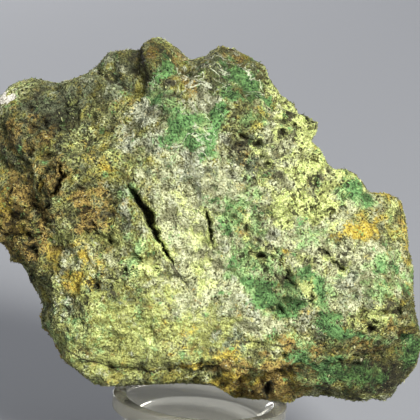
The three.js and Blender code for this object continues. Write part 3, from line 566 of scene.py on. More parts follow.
        (6, 22, 5, 2.5, 0, 0.75), (6, 18, 4, 4, 0, 0.75), (25, -21, 8, 4.5, 20, 1),
        (29.4, -14, 3, 8, 0, 0.7), (-29, 2, 3, 10, 0, 0.2), (9, -24, 6, 2, 0, 0.3),
        (17, -17, 5, 3, 0, 0.5), (-24, -8, 3, 6, 30, 0.4), (-2, -22.5, 12, 1.6, 0, 0.5),
        (-3, 15, 4, 4, 0, 0.7), (10, -9, 4, 4, 0, 0.4), (20, -12.6, 8, 3, 0, 0.3),
    ],
    "veined": [
        (-1, 17, 4, 7, 0, 1), (-1.4, 9, 3, 5, 0, 0.9), (4, 20, 5, 3.4, 0, 0.8), (-7, 19, 3, 3, 0, 0.6),
        (5, -8, 5, 3, -45, 0.3), (-11, 2, 1.4, 5, 0, 0.6),
    ],
}
HIDDEN_SIDES = {  # share of each mineral away from the front, and the seed of its noise
    "cream": (0.5, 191), "straw": (0.5, 193), "slate": (0.42, 197), "mint": (0.38, 195),
    "green": (0.08, 201), "crust": (0.36, 211), "pale": (0.42, 221), "white": (-0.3, 225),
    "ochre": (0.3, 231), "brown": (0.3, 247), "dark": (0.26, 251), "pitted": (0.5, 261),
    "veined": (0, 271), "face_shade": (0.3, 281),
}
STRAY_SHARE = {  # least share on the front, so that small islands of each show up anywhere
    "cream": 0.1, "straw": 0.08, "slate": 0.15, "mint": 0.16, "crust": 0.14, "pale": 0.18,
    "ochre": 0.08, "brown": 0.12, "green": 0.08, "dark": 0.14, "pitted": 0.15, "veined": 0.1,
}
# Where cream and crust together pass CLEAN_FROM, fewer strays of these minerals lie in them.
STRAYS_LEFT_OUT = ("slate", "mint", "pale", "ochre", "brown")
CLEAN_FROM = 1.1
CLEAN_SHARE = 0.45
print("patches:", {name: len(patches) for name, patches in PATCHES.items()})


def mineral_fields(p):
    """A number up to 1.4 for each mineral at points p: on the front the strongest oval patch
    (strength times a bell that is 0.5 on the oval's edge), elsewhere smooth noise."""
    x = p[:, 0] + 1.3 * soft_noise(p, 3.6, 301) + 0.6 * soft_noise(p, 1.5, 302)
    z = p[:, 2] + 1.3 * soft_noise(p, 3.6, 303) + 0.6 * soft_noise(p, 1.5, 304)
    front = smooth_step(-p[:, 1], -2, 5)
    fields = {}
    for name, patches in PATCHES.items():
        patch = np.zeros(len(p))
        for cx, cz, half_x, half_z, turn, strength in patches:
            away = in_ellipse(x, z, cx, cz, half_x, half_z, turn)
            patch = np.maximum(patch, strength * 0.5 ** (away**2.2))
        share, seed = HIDDEN_SIDES[name]
        noise = share + 0.5 * soft_noise(p, 9, seed) + 0.25 * soft_noise(p, 4, seed + 1)
        uneven = 1 + 0.35 * soft_noise(p, 2.3, seed + 2)
        patch = np.maximum(patch, STRAY_SHARE.get(name, 0))
        fields[name] = np.clip((front * patch + (1 - front) * noise) * uneven, 0, 1.4)
    clean = front * np.clip(fields["cream"] + fields["crust"] - CLEAN_FROM, 0, 1)
    for name in STRAYS_LEFT_OUT:
        fields[name] = fields[name] - CLEAN_SHARE * clean
    return fields


# %% [markdown]
# ## The finished skin
#
# Coarse to fine, the unevenness is added along each direction: what the solid model has, then chips,
# crumbs and pits too small for it. The crust is crumbly, the green smoother, and the lower left is
# drawn out into level fibres, so the fine part is weighted by mineral.

# %% From a direction to a skin point
GRAIN = [  # field, size in mm, seed, height in mm
    (chip_noise, 15, 91, 2.6), (chip_noise, 9, 11, 1.7), (chip_noise, 4.6, 31, 1.15),
    (soft_noise, 3.2, 51, 0.5), (soft_noise, 1.9, 71, 0.3),
]
GRAIN_SINK = 0.25  # mm, so that the rock doesn't swell
RIM_GRAIN = 0.15  # share of the grain that is left on the outline itself
CRUMB_BLEND = 18
PIT_DEPTH = 0.8  # mm
FIBRE_PLACE = (-11, -16, 11, 5.5)  # middle X, Z and half sizes of the fibrous area
FIBRE_STRETCH = (0.22, 1, 1.25)
REST_GAP = 0.3  # mm between the rock and the ring's rim, as in the solids
SEAT_ROUGH = 0.2  # mm of unevenness where the rock sits
HOLLOW_DEPTH = 1.6  # mm of depth that counts as fully hollow
GRAIN_FROM, GRAIN_FULL = 0.02, 0.2  # depth part of a direction over which the grain grows in
FACING_FULL = 0.25  # the same for the front's relief and openings


def coarse_grain(p):
    """Sum of the coarse fields, each times its height, lowered a little, in mm."""
    return sum(height * field(p, size, seed) for field, size, seed, height in GRAIN) - GRAIN_SINK


def fine_grain(p, fields):
    """Height in mm of crumbs 0.7 to 2.3 mm across, lower where the stone is green or white, less
    round pits where it is pitted; in the fibrous area a field stretched along X takes over. Also
    the pits alone, 0 to 1."""
    smoothed = 1 - 0.5 * np.clip(fields["green"] + fields["white"], 0, 1)
    fibre = np.exp(-0.5 * in_ellipse(p[:, 0], p[:, 2], *FIBRE_PLACE) ** 4)
    crumbs = 0.45 * chip_noise(p, 2.3, 111, CRUMB_BLEND) + 0.42 * chip_noise(p, 1.25, 121, CRUMB_BLEND)
    crumbs = crumbs + 0.2 * soft_noise(p, 0.7, 131)
    along = p * FIBRE_STRETCH
    drawn = 0.26 * soft_noise(along, 1.1, 151) + 0.16 * soft_noise(along, 0.6, 152)
    crumbs = smoothed * ((1 - 0.6 * fibre) * crumbs) + fibre * drawn
    place = p + 0.3 * soft_noise(p, 0.9, 145)[:, None]
    pits = np.maximum(pit_noise(place, 1.5, 141), 0.85 * pit_noise(place, 1, 171))
    pits = pits * np.clip(1.5 * fields["pitted"] - 0.15, 0, 1)
    fields["fibre"] = fibre
    return crumbs - PIT_DEPTH * pits, pits


def skin(d):
    """The finished skin points for unit directions d, in the lump's own frame, in mm, and the
    numbers that the material reads there: the broken radius, plus grain along d, plus the front's
    relief and openings along Y, kept inside the outline and above the ring's rim."""
    p = d * broken_radius(d)[:, None]
    inward = smooth_step(np.abs(d[:, 1]), GRAIN_FROM, GRAIN_FULL)
    p = p + d * (coarse_grain(p) * (RIM_GRAIN + (1 - RIM_GRAIN) * inward))[:, None]
    facing = smooth_step(-d[:, 1], 0, FACING_FULL)
    p[:, 1] -= front_relief(p[:, 0], p[:, 2]) * facing
    fields = mineral_fields(p)
    fine, pits = fine_grain(p, fields)
    depth, within = openings(p)
    depth = depth * facing
    fields["within"] = np.where(facing > 0.5, within, -1.0)
    beside, half = hairlines(p)
    fields["beside"], fields["crack"] = beside, np.where(facing > 0.5, half, NO_CRACK)
    p = p + d * (fine * (0.5 + 0.5 * inward))[:, None]
    p[:, 1] += depth
    reach = RIM_SHARE * outline_radius(p[:, 0], p[:, 2]) * (1 + p[:, 1] * RIM_TAPER)
    p[:, ::2] *= np.minimum(1, reach / np.hypot(p[:, 0], p[:, 2]))[:, None]
    seat = up @ RING_TOP_CENTRE + REST_GAP + SEAT_ROUGH * (1 + soft_noise(p, 3.5, 5))
    p = p + np.maximum(0, seat - p @ up)[:, None] * up
    fields["hollow"] = np.clip(np.maximum(depth / HOLLOW_DEPTH, 0.85 * pits), 0, 1)
    # Painted shade in the round pits of the mesh.
    fields["sunk"] = np.clip(0.9 * pits, 0, 1)
    # Painted shade in the low spots of the fine grain, between crumbs.
    fields["crevice_shade"] = np.clip(0.5 - 1.1 * fine, 0, 1)
    return p, fields


# %% [markdown]
# ## A grid with no poles
#
# A globe's grid has poles where the rows crowd together. Six square grids on a box have none. The
# box is as flat as the rock, so each grid covers about one side of it; points that two grids share
# are merged, which closes the skin.


# %% Box grid
def box_grid(across, deep, high, half_depth=0.5, half_height=0.85):
    """Points on a box of half sizes 1, half_depth, half_height, and quads that face outward. Each
    side is a grid of two parameters, s and t; equal points of neighbouring sides become one."""
    steps = (across, deep, high)
    points, quads, start = [], [], 0
    for axis in range(3):
        u, v = (axis + 1) % 3, (axis + 2) % 3
        s, t = (np.linspace(-1, 1, steps[n] + 1) for n in (u, v))
        s, t = np.meshgrid(s, t, indexing="ij")
        n = np.arange(s.size).reshape(s.shape)
        quad = np.stack([n[:-1, :-1], n[1:, :-1], n[1:, 1:], n[:-1, 1:]], -1).reshape(-1, 4)
        for side in (-1, 1):
            face = np.empty((s.size, 3))
            face[:, u], face[:, v], face[:, axis] = s.ravel(), t.ravel(), side
            points.append(face * (1, half_depth, half_height))
            quads.append((quad if side > 0 else quad[:, ::-1]) + start)
            start += s.size
    points, quads = np.concatenate(points), np.concatenate(quads)
    _, first, same = np.unique(points.round(7), axis=0, return_index=True, return_inverse=True)
    return points[first], same.ravel()[quads]


def make_mesh(name, points, faces, smooth=True, attributes=None):
    """A mesh object at the origin from shelf-frame points in metres, with point attributes."""
    mesh = bpy.data.meshes.new(name)
    mesh.from_pydata(points.tolist(), [], faces.tolist())
    mesh.polygons.foreach_set("use_smooth", np.full(len(faces), smooth))
    for key, values in (attributes or {}).items():
        mesh.attributes.new(key, "FLOAT", "POINT").data.foreach_set("value", values.astype(np.float32))
    mesh.update()
    piece = bpy.data.objects.new(name, mesh)
    bpy.context.collection.objects.link(piece)
    return piece


box_points, rock_quads = box_grid(across=190, deep=40, high=160)
directions = box_points / np.linalg.norm(box_points, axis=1)[:, None]
rock_points, rock_fields = skin(directions)
rock = make_mesh("rock_skin", on_shelf(rock_points), rock_quads, attributes=rock_fields)
print("rock skin:", len(rock_quads) * 2, "triangles, size in mm:",
      (np.ptp(on_shelf(rock_points), axis=0) / MM).round(2))

# %% [markdown]
# ## Loose grains
#
# Seen close, the crust is a crowd of tiny crystals. Real geometry catches the light in a way that a
# painted pattern can't, so thousands of eight-sided chips are strewn over the skin: crumbs and dust
# mostly where crust or rust is strong, long and short splinters and finer dust everywhere. Each mesh
# holds one kind. Every chip is turned and sized at random from one seed, then pressed half flat
# against the skin, because chips that stand up look like fur along the rock's edge.

# %% The skin as triangles
CHIP_POINTS = np.array([(1, 0, 0), (-1, 0, 0), (0, 1, 0), (0, -1, 0), (0, 0, 1), (0, 0, -1)], float)
CHIP_FACES = np.array([
    (0, 2, 4), (2, 1, 4), (1, 3, 4), (3, 0, 4), (2, 0, 5), (1, 2, 5), (3, 1, 5), (0, 3, 5),
])
dice = np.random.default_rng(51)

triangles = np.concatenate([rock_quads[:, :3], rock_quads[:, [0, 2, 3]]])
corners = rock_points[triangles]
normals = np.cross(corners[:, 1] - corners[:, 0], corners[:, 2] - corners[:, 0])
areas = np.linalg.norm(normals, axis=1) / 2
normals /= np.maximum(2 * areas, 1e-12)[:, None]
outward = bool((normals * corners[:, 0]).sum() > 0)
print("skin area, square mm:", round(float(areas.sum())), "outward:", outward)


def mean_of(key):
    """One of the skin's numbers, as one value for each triangle."""
    return rock_fields[key][triangles].mean(axis=1)


# %% Chips strewn on the skin
LYING = 0.5  # share of a chip's reach out of and into the skin that is pressed away


def turns(count):
    """Evenly spread random rotation matrices, from normalised four-number spins."""
    q = dice.normal(size=(count, 4))
    w, x, y, z = q.T / np.linalg.norm(q, axis=1)
    return np.stack([
        1 - 2 * (y * y + z * z), 2 * (x * y - z * w), 2 * (x * z + y * w),
        2 * (x * y + z * w), 1 - 2 * (x * x + z * z), 2 * (y * z - x * w),
        2 * (x * z - y * w), 2 * (y * z + x * w), 1 - 2 * (x * x + y * y),
    ], 1).reshape(count, 3, 3)


def strew(name, count, weight, smallest, largest, slimness):
    """Chips as one mesh: triangles are drawn in proportion to area times weight, a point is drawn
    in each, and a turned, stretched chip is set there, raised or sunk by up to 0.3 of its size.
    Slimness is the chip's thickness as a share of its length."""
    share = areas * weight
    picked = dice.choice(len(triangles), size=count, p=share / share.sum())
    a, b = dice.random((2, count, 1))
    fold = a + b > 1
    a, b = np.where(fold, 1 - a, a), np.where(fold, 1 - b, b)
    c = corners[picked]
    place = c[:, 0] + a * (c[:, 1] - c[:, 0]) + b * (c[:, 2] - c[:, 0])
    size = smallest + (largest - smallest) * dice.random((count, 1)) ** 2
    place = place + normals[picked] * size * dice.uniform(-0.3, 0.3, (count, 1))
    thickness = np.array([1, slimness, slimness])
    stretched = CHIP_POINTS[None] * (size * thickness * dice.uniform(0.7, 1.2, (count, 3)))[:, None]
    turned = np.einsum("nij,nkj->nki", turns(count), stretched)
    out = normals[picked][:, None]
    turned -= LYING * (turned * out).sum(axis=2, keepdims=True) * out
    points = (turned + place[:, None]).reshape(-1, 3)
    faces = (CHIP_FACES[None] + 6 * np.arange(count)[:, None, None]).reshape(-1, 3)
    fields = {key: np.repeat(values[triangles[picked, 0]], 6) for key, values in rock_fields.items()}
    fields["tone"] = np.repeat(dice.uniform(0.1, 1.1, count), 6)
    fields["kind"] = np.repeat(dice.random(count), 6)
    print(name, "chips:", count, "triangles:", len(faces))
    return make_mesh(name, on_shelf(points), faces, smooth=False, attributes=fields)


shallow = 1 - 0.75 * mean_of("hollow")
front_share = 0.35 + 0.65 * smooth_step(-corners[:, :, 1].mean(axis=1), -6, 2)
rough = np.clip(1 - 0.6 * mean_of("green") - 0.8 * mean_of("white") - 0.75 * mean_of("fibre"), 0.1, 1)
spread = front_share * shallow * rough
crumbly = np.clip(0.15 + mean_of("crust") + 0.7 * mean_of("brown") + 0.7 * mean_of("ochre"), 0, 1.2)
GRAINS = {  # chips, weight over the skin, shortest and longest half length in mm, slimness
    "crumbs": (14000, spread * crumbly**1.5, 0.14, 0.4, 0.7),
    "splinters": (22000, spread, 0.25, 0.65, 0.2),
    "short_splinters": (20000, spread, 0.16, 0.42, 0.28),
    "dust": (12000, spread, 0.08, 0.2, 0.7),
    "crust_dust": (18000, spread * crumbly**1.5, 0.1, 0.24, 0.6),
}
grains = [strew(kind, *plan) for kind, plan in GRAINS.items()]

# %% [markdown]
# ## Shader maths in Python
#
# A material is a graph of nodes. Writing `1 - mask * 0.5` is easier to follow than wiring boxes, so a
# small class wraps a socket and adds a Math node for each operator. Any other node comes from one
# method that takes the node's type, its settings and the values or links of its sockets.


# %% Socket arithmetic
class Wire:
    """An output socket that can be used in Python expressions."""

    def __init__(self, tree, socket=None):
        self.tree, self.socket = tree, socket

    def node(self, kind, settings=None, inputs=None, out=0):
        """Adds a node, sets it up, fills its sockets, and returns the wire of one output."""
        node = self.tree.nodes.new(kind)
        for key, value in (settings or {}).items():
            setattr(node, key, value)
        for key, value in (inputs or {}).items():
            if isinstance(value, Wire):
                self.tree.links.new(value.socket, node.inputs[key])
            else:
                node.inputs[key].default_value = value
        return Wire(self.tree, node.outputs[out])

    def maths(self, operation, a, b=0.0):
        """One Math node on two values or wires."""
        return self.node("ShaderNodeMath", {"operation": operation}, {0: a, 1: b})

    def __add__(self, b):
        return self.maths("ADD", self, b)

    def __radd__(self, a):
        return self.maths("ADD", a, self)

    def __sub__(self, b):
        return self.maths("SUBTRACT", self, b)

    def __rsub__(self, a):
        return self.maths("SUBTRACT", a, self)

    def __mul__(self, b):
        return self.maths("MULTIPLY", self, b)

    def __rmul__(self, a):
        return self.maths("MULTIPLY", a, self)

    def absolute(self):
        """The value without its sign."""
        return self.maths("ABSOLUTE", self)

    def larger(self, b):
        """The larger of this and b."""
        return self.maths("MAXIMUM", self, b)

    def fold(self):
        """Distance from the middle value 0.5: a line where noise passes through its middle."""
        return (self - 0.5).absolute()

    def step(self, low, high):
        """0 at low, 1 at high, an S curve between."""
        return self.node("ShaderNodeMapRange", {"interpolation_type": "SMOOTHSTEP"},
                         {"Value": self, "From Min": low, "From Max": high})

    def mix(self, a, b, factor, blend="MIX"):
        """Colour a turned into colour b by factor."""
        return self.node("ShaderNodeMix", {"data_type": "RGBA", "blend_type": blend},
                         {0: factor, 6: a, 7: b}, out=2)

    def feed(self, shader, socket):
        """Links this wire into one socket of the shader."""
        self.tree.links.new(self.socket, shader.inputs[socket])


def colour(red, green, blue):
    """An RGBA colour in linear light from the 0 to 255 numbers that a screen shows."""
    s = np.array([red, green, blue]) / 255
    return (*np.where(s <= 0.04045, s / 12.92, ((s + 0.055) / 1.055) ** 2.4).tolist(), 1.0)


def new_material(name):
    """An empty node material, its shader node, and a wire to build from."""
    material = bpy.data.materials.new(name)
    material.use_nodes = True
    return material, material.node_tree.nodes["Principled BSDF"], Wire(material.node_tree)


# %% [markdown]
# ## The mineral material
#
# A picture of the stone could be wrapped round the mesh, but it would blur close up and end where the
# photo ends. So the recipe reads the mineral numbers stored on the mesh, roughens each with noise
# from two millimetres down, and cuts it to a ragged mask. Each mineral has a light and a dark shade
# that a curly, streaky pattern deals out.

# %% Mineral colours
SHADES = {  # light, dark
    "olive": (colour(158, 160, 100), colour(48, 50, 20)),
    "slate": (colour(150, 158, 126), colour(52, 59, 34)),
    "moss": (colour(194, 188, 96), colour(88, 84, 26)),
    "cream": (colour(236, 238, 194), colour(134, 138, 88)),
    "straw": (colour(206, 212, 128), colour(122, 124, 58)),
    "mint": (colour(192, 226, 152), colour(92, 128, 66)),
    "crust": (colour(248, 255, 172), colour(178, 194, 102)),
    "pale": (colour(224, 227, 198), colour(108, 114, 80)),
    "white": (colour(248, 242, 230), colour(226, 218, 202)),
    "green": (colour(138, 188, 114), colour(22, 54, 18)),
    "ochre": (colour(226, 206, 92), colour(156, 122, 34)),
    "brown": (colour(192, 166, 92), colour(72, 46, 12)),
    "dark": (colour(100, 98, 70), colour(26, 24, 12)),
}
EDGES = {  # where each mask starts and ends, in units of the mineral number plus noise
    "cream": (0.26, 0.68), "straw": (0.24, 0.72), "slate": (0.26, 0.66), "mint": (0.38, 0.82),
    "crust": (0.34, 0.72), "pale": (0.38, 0.8), "ochre": (0.32, 0.78), "brown": (0.32, 0.7),
    "dark": (0.42, 0.8), "green": (0.3, 0.6), "white": (0.7, 0.85),
}
FACE_SHADE_TINT = colour(178, 176, 158)  # multiplies the colour where shade is painted on faces turned from the light
print("shades:", len(SHADES), "masks:", len(EDGES))


# %% Noises and the mineral colour
class Stone:
    """The noises and numbers that every mineral material starts from."""

    def __init__(self, wire):
        self.w = wire
        self.place = wire.node("ShaderNodeTexCoord", out="Object")
        self.blotch = self.noise(3.4)
        self.speck = self.noise(0.9, 4.0)
        self.fine = self.noise(0.3, 2.0)
        self.curly = self.noise(0.65, 3.0, 20, twist=2.0)
        worms = self.noise(0.9, 2.0, 25, twist=1.4).fold().step(0.1, 0.015)
        thin_worms = self.noise(0.55, 2.0, 28, twist=1.4).fold().step(0.09, 0.015)
        self.worms = worms * 0.6 + thin_worms * 0.4
        fine_level = self.noise(0.36, 3.0, 30, drawn=4.0)
        long_level = self.noise(0.8, 3.0, 33, drawn=9.0, turn=-4.0)
        level = fine_level * 0.5 + long_level * 0.5
        slanted = self.noise(0.36, 3.0, 35, drawn=2.6, turn=40.0)
        self.streak = level * self.field("fibre") + slanted * (1 - self.field("fibre"))

    def noise(self, size_mm, detail=3.0, shift_mm=0.0, twist=0.0, drawn=1.0, turn=0.0):
        """Fractal noise about size_mm across, 0 to 1. A shift makes it another pattern, a twist curls
        it, and drawn out it is that many times longer along X, turned clockwise on the front."""
        place = self.w.node("ShaderNodeMapping", {"vector_type": "TEXTURE"}, {
            "Vector": self.place, "Location": (shift_mm * MM,) * 3,
            "Rotation": (0, np.radians(turn), 0), "Scale": (drawn, 1, 1)})
        return self.w.node("ShaderNodeTexNoise", {"noise_dimensions": "3D"}, {
            "Vector": place, "Scale": 1 / (size_mm * MM), "Detail": detail, "Roughness": 0.62,
            "Distortion": twist})

    def field(self, key):
        """A number stored on the mesh."""
        return self.w.node("ShaderNodeAttribute", {"attribute_name": key}, out="Fac")

    def cells(self, size_mm, output):
        """Random cells of about size_mm: their colour, or the distance to their middle."""
        return self.w.node("ShaderNodeTexVoronoi", {"feature": "F1"},
                           {"Vector": self.place, "Scale": 1 / (size_mm * MM)}, out=output)

    def crumbs(self, size_mm):
        """A random number for each cell of about size_mm."""
        return self.w.node("ShaderNodeSeparateColor", inputs={"Color": self.cells(size_mm, "Color")})

    def pits(self, size_mm):
        """Ragged spots, one in each cell of about size_mm, where the stone is pitted."""
        edge = self.cells(size_mm, "Distance") + (self.speck - 0.5) * 0.9 + (self.fine - 0.5) * 0.5
        return edge.step(0.27, 0.13) * self.field("pitted").step(0.1, 0.6)

    def shade_of(self, key, shade):
        """A mineral's colour between its dark and light shade."""
        light, dark = SHADES[key]
        return self.w.mix(dark, light, shade)

    def mineral_colour(self, shade):
        """The mottled colour of the skin: olive with yellow tints, each mineral laid over it where
        its ragged mask says, then painted shade on faces turned from the light, and the thin pale veins
        of quartz in old cracks.
        Round a pocket in cream stone the crust is thicker, as it grew there first."""
        tint = self.w.mix(self.shade_of("olive", shade), self.shade_of("moss", shade),
                          self.noise(2.7, 4.0, 40).step(0.5, 0.6))
        uneven = self.noise(1.3, 3.0, 90, twist=0.6).step(0.4, 0.62)
        rim = self.field("within").step(-0.7, -0.1) * self.field("cream").step(0.2, 0.6) * 0.5
        for n, (key, (low, high)) in enumerate(EDGES.items()):
            ragged = (self.noise(1.8, 5.0, 120 + 40 * n) - 0.5) * 2.2 + (self.fine - 0.5) * 1.0
            amount = self.field(key) + rim if key == "crust" else self.field(key)
            mask = (amount + ragged).step(low, high)
            patchy = shade * 0.7 + uneven * 0.45 - 0.08 if key == "green" else shade
            tint = self.w.mix(tint, self.shade_of(key, patchy), mask)
        # Painted shade, mostly on faces along the top, the bottom and the lower right that turn away
        # from the light; white stone is left out of it.
        face_shade = (self.field("face_shade") - self.field("white") + self.blotch - 0.5).step(0.1, 0.95)
        tint = self.w.mix(tint, FACE_SHADE_TINT, face_shade, "MULTIPLY")
        veins = self.noise(3.6, 2.5, 620, twist=0.6).fold().step(0.02, 0.004)
        veins = veins * (self.field("veined") + self.blotch - 0.5).step(0.3, 0.7)
        return self.w.mix(tint, self.shade_of("pale", shade.step(-0.6, 0.8)), veins * 0.75)


# %% [markdown]
# ## Gaps, cracks and pits
#
# Shade falls between crumbs, in crevices, in cracks and in pits, and that is most of what makes stone
# look rough from afar, so the material paints that shade in. Multiplying by a dull olive paints shade
# into a gap, a crevice or a sunk pit and lets its own colour through; a crack, a drawn pit or an open
# pocket is painted over in dark brown as painted shade. The cracks are of two kinds: random ones from
# folded noise, and named ones from the distance and half width kept on the mesh.

# %% Darkening and bump
# Painted shade: this tint darkens gaps, crevices and sunk pits; the two dark browns paint shade into
# cracks, drawn pits and open pockets.
PAINTED_SHADE_TINT = colour(104, 98, 60)
CRACK_AND_PIT_SHADE_COLOUR = colour(44, 38, 20)
POCKET_SHADE_COLOUR = colour(40, 34, 14)
BUMP_HEIGHT = 0.5  # mm
DULL_REFLECTION = 0.35


def finish_stone(stone, shader, tint, height):
    """Paints shade into gaps, crevices, sunk pits, cracks, drawn pits and open pockets, then feeds
    colour, roughness and bump. A gap is where small noise (large noise on crust) is low, and the
    painted shade of gaps is weaker on fibres, straw and green."""
    ragged = (stone.fine - 0.5) * 0.9 + (stone.curly - 0.5) * 1.1
    small = stone.curly * 0.3 + stone.speck * 0.15 + stone.fine * 0.55
    large = stone.noise(1.5, 2.5, 740, twist=1.0) * 0.8 + stone.fine * 0.2
    crust = stone.field("crust").step(0.35, 0.65)
    gap_shade = (small * (1 - crust) + large * crust).step(0.45, 0.39)
    smooth = stone.field("fibre") + stone.field("straw") * 0.5 + stone.field("green") * 0.3
    gap_shade = gap_shade * (0.95 - 0.65 * smooth.step(0.1, 1.1))
    cracks = stone.noise(2.2, 4.0, 660, twist=0.8).fold().step(0.018, 0.0)
    cracks = cracks * stone.noise(5.0, 2.0, 700).step(0.48, 0.6)
    beside = stone.field("beside") + ragged * 0.35
    named = (stone.field("crack") - beside.absolute()).step(-0.06, 0.06)
    cracks = cracks.larger(named)
    pits = stone.pits(1.3).larger(stone.pits(0.75))
    crevice_shade = (stone.field("crevice_shade") + ragged * 0.8).step(0.62, 0.86)
    sunk = (stone.field("sunk") + ragged * 0.9).step(0.42, 0.62)
    # Painted shade inside the fissures and vugs, a little lighter where the curly noise is high.
    pocket_shade = (stone.field("within") + ragged * 0.9).step(0.0, 0.14)
    pocket_shade = pocket_shade * (0.95 - stone.curly.step(0.48, 0.62) * 0.3)
    for mask in (gap_shade, crevice_shade * 0.6, sunk * 0.75):
        tint = stone.w.mix(tint, PAINTED_SHADE_TINT, mask, "MULTIPLY")
    # Painted shade: cracks and drawn pits are painted over in dark brown.
    tint = stone.w.mix(tint, CRACK_AND_PIT_SHADE_COLOUR, cracks.larger(pits) * 0.85)
    tint = stone.w.mix(tint, POCKET_SHADE_COLOUR, pocket_shade * 0.9)
    tint.feed(shader, "Base Color")
    (0.62 + 0.3 * stone.speck).feed(shader, "Roughness")
    height = height + stone.fine * 0.3 - pits * 0.6
    bump = stone.w.node("ShaderNodeBump", inputs={
        "Strength": 1.0, "Distance": BUMP_HEIGHT * MM, "Height": height})
    bump.feed(shader, "Normal")
    shader.inputs["Specular IOR Level"].default_value = DULL_REFLECTION


# %% Skin material
skin_material, shader, wire = new_material("mineral_skin")
stone = Stone(wire)
fibre = stone.field("fibre")
shade = (stone.worms * 0.3 + stone.crumbs(0.35) * 0.2) * (1 - fibre * 0.7)
shade = shade + stone.streak.step(0.38, 0.6) * (0.35 + fibre * 0.3)
shade = (shade + stone.fine.step(0.42, 0.58) * 0.55 * (1 - fibre * 0.2)).step(0.15, 1.1)
skin_height = stone.worms * 0.4 + stone.speck * 0.6 + stone.streak * 0.4
finish_stone(stone, shader, stone.mineral_colour(shade), skin_height)
rock.data.materials.append(skin_material)
print("skin material nodes:", len(skin_material.node_tree.nodes))

# %% [markdown]
# ## Grain material
#
# A grain takes the colour of the skin that it sits on, in a tone of its own. One grain in ten is
# tinted half-way to a stray mineral, because loose grains of a broken rock end up anywhere.

# %% Grain material
grain_material, shader, wire = new_material("mineral_grain")
stone = Stone(wire)
tone, kind = stone.field("tone"), stone.field("kind")
tint = stone.mineral_colour(tone * 0.6 + stone.fine.step(0.4, 0.6) * 0.5)
STRAYS = {"brown": 0.9, "pale": 0.94, "crust": 0.98}  # a grain's kind number from which it is tinted
for key, low in STRAYS.items():
    tint = wire.mix(tint, stone.shade_of(key, tone), kind.step(low - 0.01, low + 0.01) * 0.5)
finish_stone(stone, shader, tint, stone.fine)
print("grain material nodes:", len(grain_material.node_tree.nodes))
for piece in grains:
    piece.data.materials.append(grain_material)

for piece in [rock, *grains]:
    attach(piece, "root")
    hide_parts("bayldonite_rock")

# %% [markdown]
# ## The clear ring
#
# The stand is a turned ring of clear plastic: two polished bands with a narrow waist between, open
# through the middle. A profile carried round the axis gives it; enough steps keep the curves clean,
# because clear plastic shows every flat as a kink in what is seen through it.

# %% Turned ring
RING_STEPS = 160
RING_RADIUS, RING_HEIGHT, RING_BORE = 12.4, 12.0, 8.8
RING_WAIST, RING_RIM_INNER, RING_BAND = 10.3, 10.5, 1.9
RIM_DROP = 2.6  # how far the rim slopes down to the bore
WAIST_STEP, WAIST_POWER = 0.25, 2.6


def rounded(profile, reach=0.22):
    """A closed profile with each corner cut back and bridged by a short curve (the quadratic curve
    whose handle is the corner), reach mm from the corner or a third of the shorter side."""
    p = np.array(profile)
    before, after = np.roll(p, 1, 0) - p, np.roll(p, -1, 0) - p
    a_len, b_len = np.linalg.norm(before, axis=1), np.linalg.norm(after, axis=1)
    cut = np.minimum(reach, np.minimum(a_len, b_len) / 3)
    a = p + before * (cut / a_len)[:, None]
    b = p + after * (cut / b_len)[:, None]
    t = np.linspace(0, 1, 4)[None, :, None]
    curve = (1 - t) ** 2 * a[:, None] + 2 * t * (1 - t) * p[:, None] + t**2 * b[:, None]
    return curve.reshape(-1, 2)


waist = np.linspace(-1, 1, 15)
waist_z = RING_HEIGHT / 2 + waist * (RING_HEIGHT / 2 - RING_BAND)
waist_r = RING_WAIST + (RING_RADIUS - WAIST_STEP - RING_WAIST) * np.abs(waist) ** WAIST_POWER
profile = [(RING_BORE, 0), (RING_RADIUS, 0), (RING_RADIUS, RING_BAND)]
profile += list(zip(waist_r.tolist(), waist_z.tolist()))
profile += [(RING_RADIUS, RING_HEIGHT - RING_BAND), (RING_RADIUS, RING_HEIGHT),
            (RING_RIM_INNER, RING_HEIGHT), (RING_BORE, RING_HEIGHT - RIM_DROP)]
ring_profile = rounded(profile)
turn = np.linspace(0, 2 * np.pi, RING_STEPS, endpoint=False)[:, None]
ring_points = np.stack([
    ring_top[0] + np.cos(turn) * ring_profile[:, 0],
    ring_top[1] + np.sin(turn) * ring_profile[:, 0],
    np.broadcast_to(ring_profile[:, 1], (RING_STEPS, len(ring_profile))),
], -1)
near = np.arange(ring_points[..., 0].size).reshape(RING_STEPS, -1)
far = np.roll(near, -1, 0)
ring_quads = np.stack([near, far, np.roll(far, -1, 1), np.roll(near, -1, 1)], -1).reshape(-1, 4)
ring = make_mesh("clear_ring", ring_points.reshape(-1, 3) * MM, ring_quads)
print("ring profile points:", len(ring_profile), "triangles:", 2 * len(ring_quads))

# %% [markdown]
# ## Clear plastic
#
# Clear plastic lets light through and bends it, so the shader's transmission is nearly full and its
# index of refraction is that of acrylic. What isn't let through shows the base colour, a warm white,
# as the milkiness of an old stand. Faint smudges vary the roughness, as on anything that is handled.

# %% Ring material
CLEARNESS = 0.87
ACRYLIC_IOR = 1.49
SMUDGE_SIZE = 4.0  # mm
ring_material, shader, wire = new_material("clear_plastic")
shader.inputs["Base Color"].default_value = colour(248, 245, 230)
shader.inputs["Transmission Weight"].default_value = CLEARNESS
shader.inputs["IOR"].default_value = ACRYLIC_IOR
smudge = wire.node("ShaderNodeTexNoise", inputs={
    "Vector": wire.node("ShaderNodeTexCoord", out="Object"), "Scale": 1 / (SMUDGE_SIZE * MM),
    "Detail": 3.0})
(0.03 + 0.16 * smudge.step(0.42, 0.75)).feed(shader, "Roughness")
ring.data.materials.append(ring_material)
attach(ring, "root")
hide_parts("ring_stand")
print("ring material nodes:", len(ring_material.node_tree.nodes))

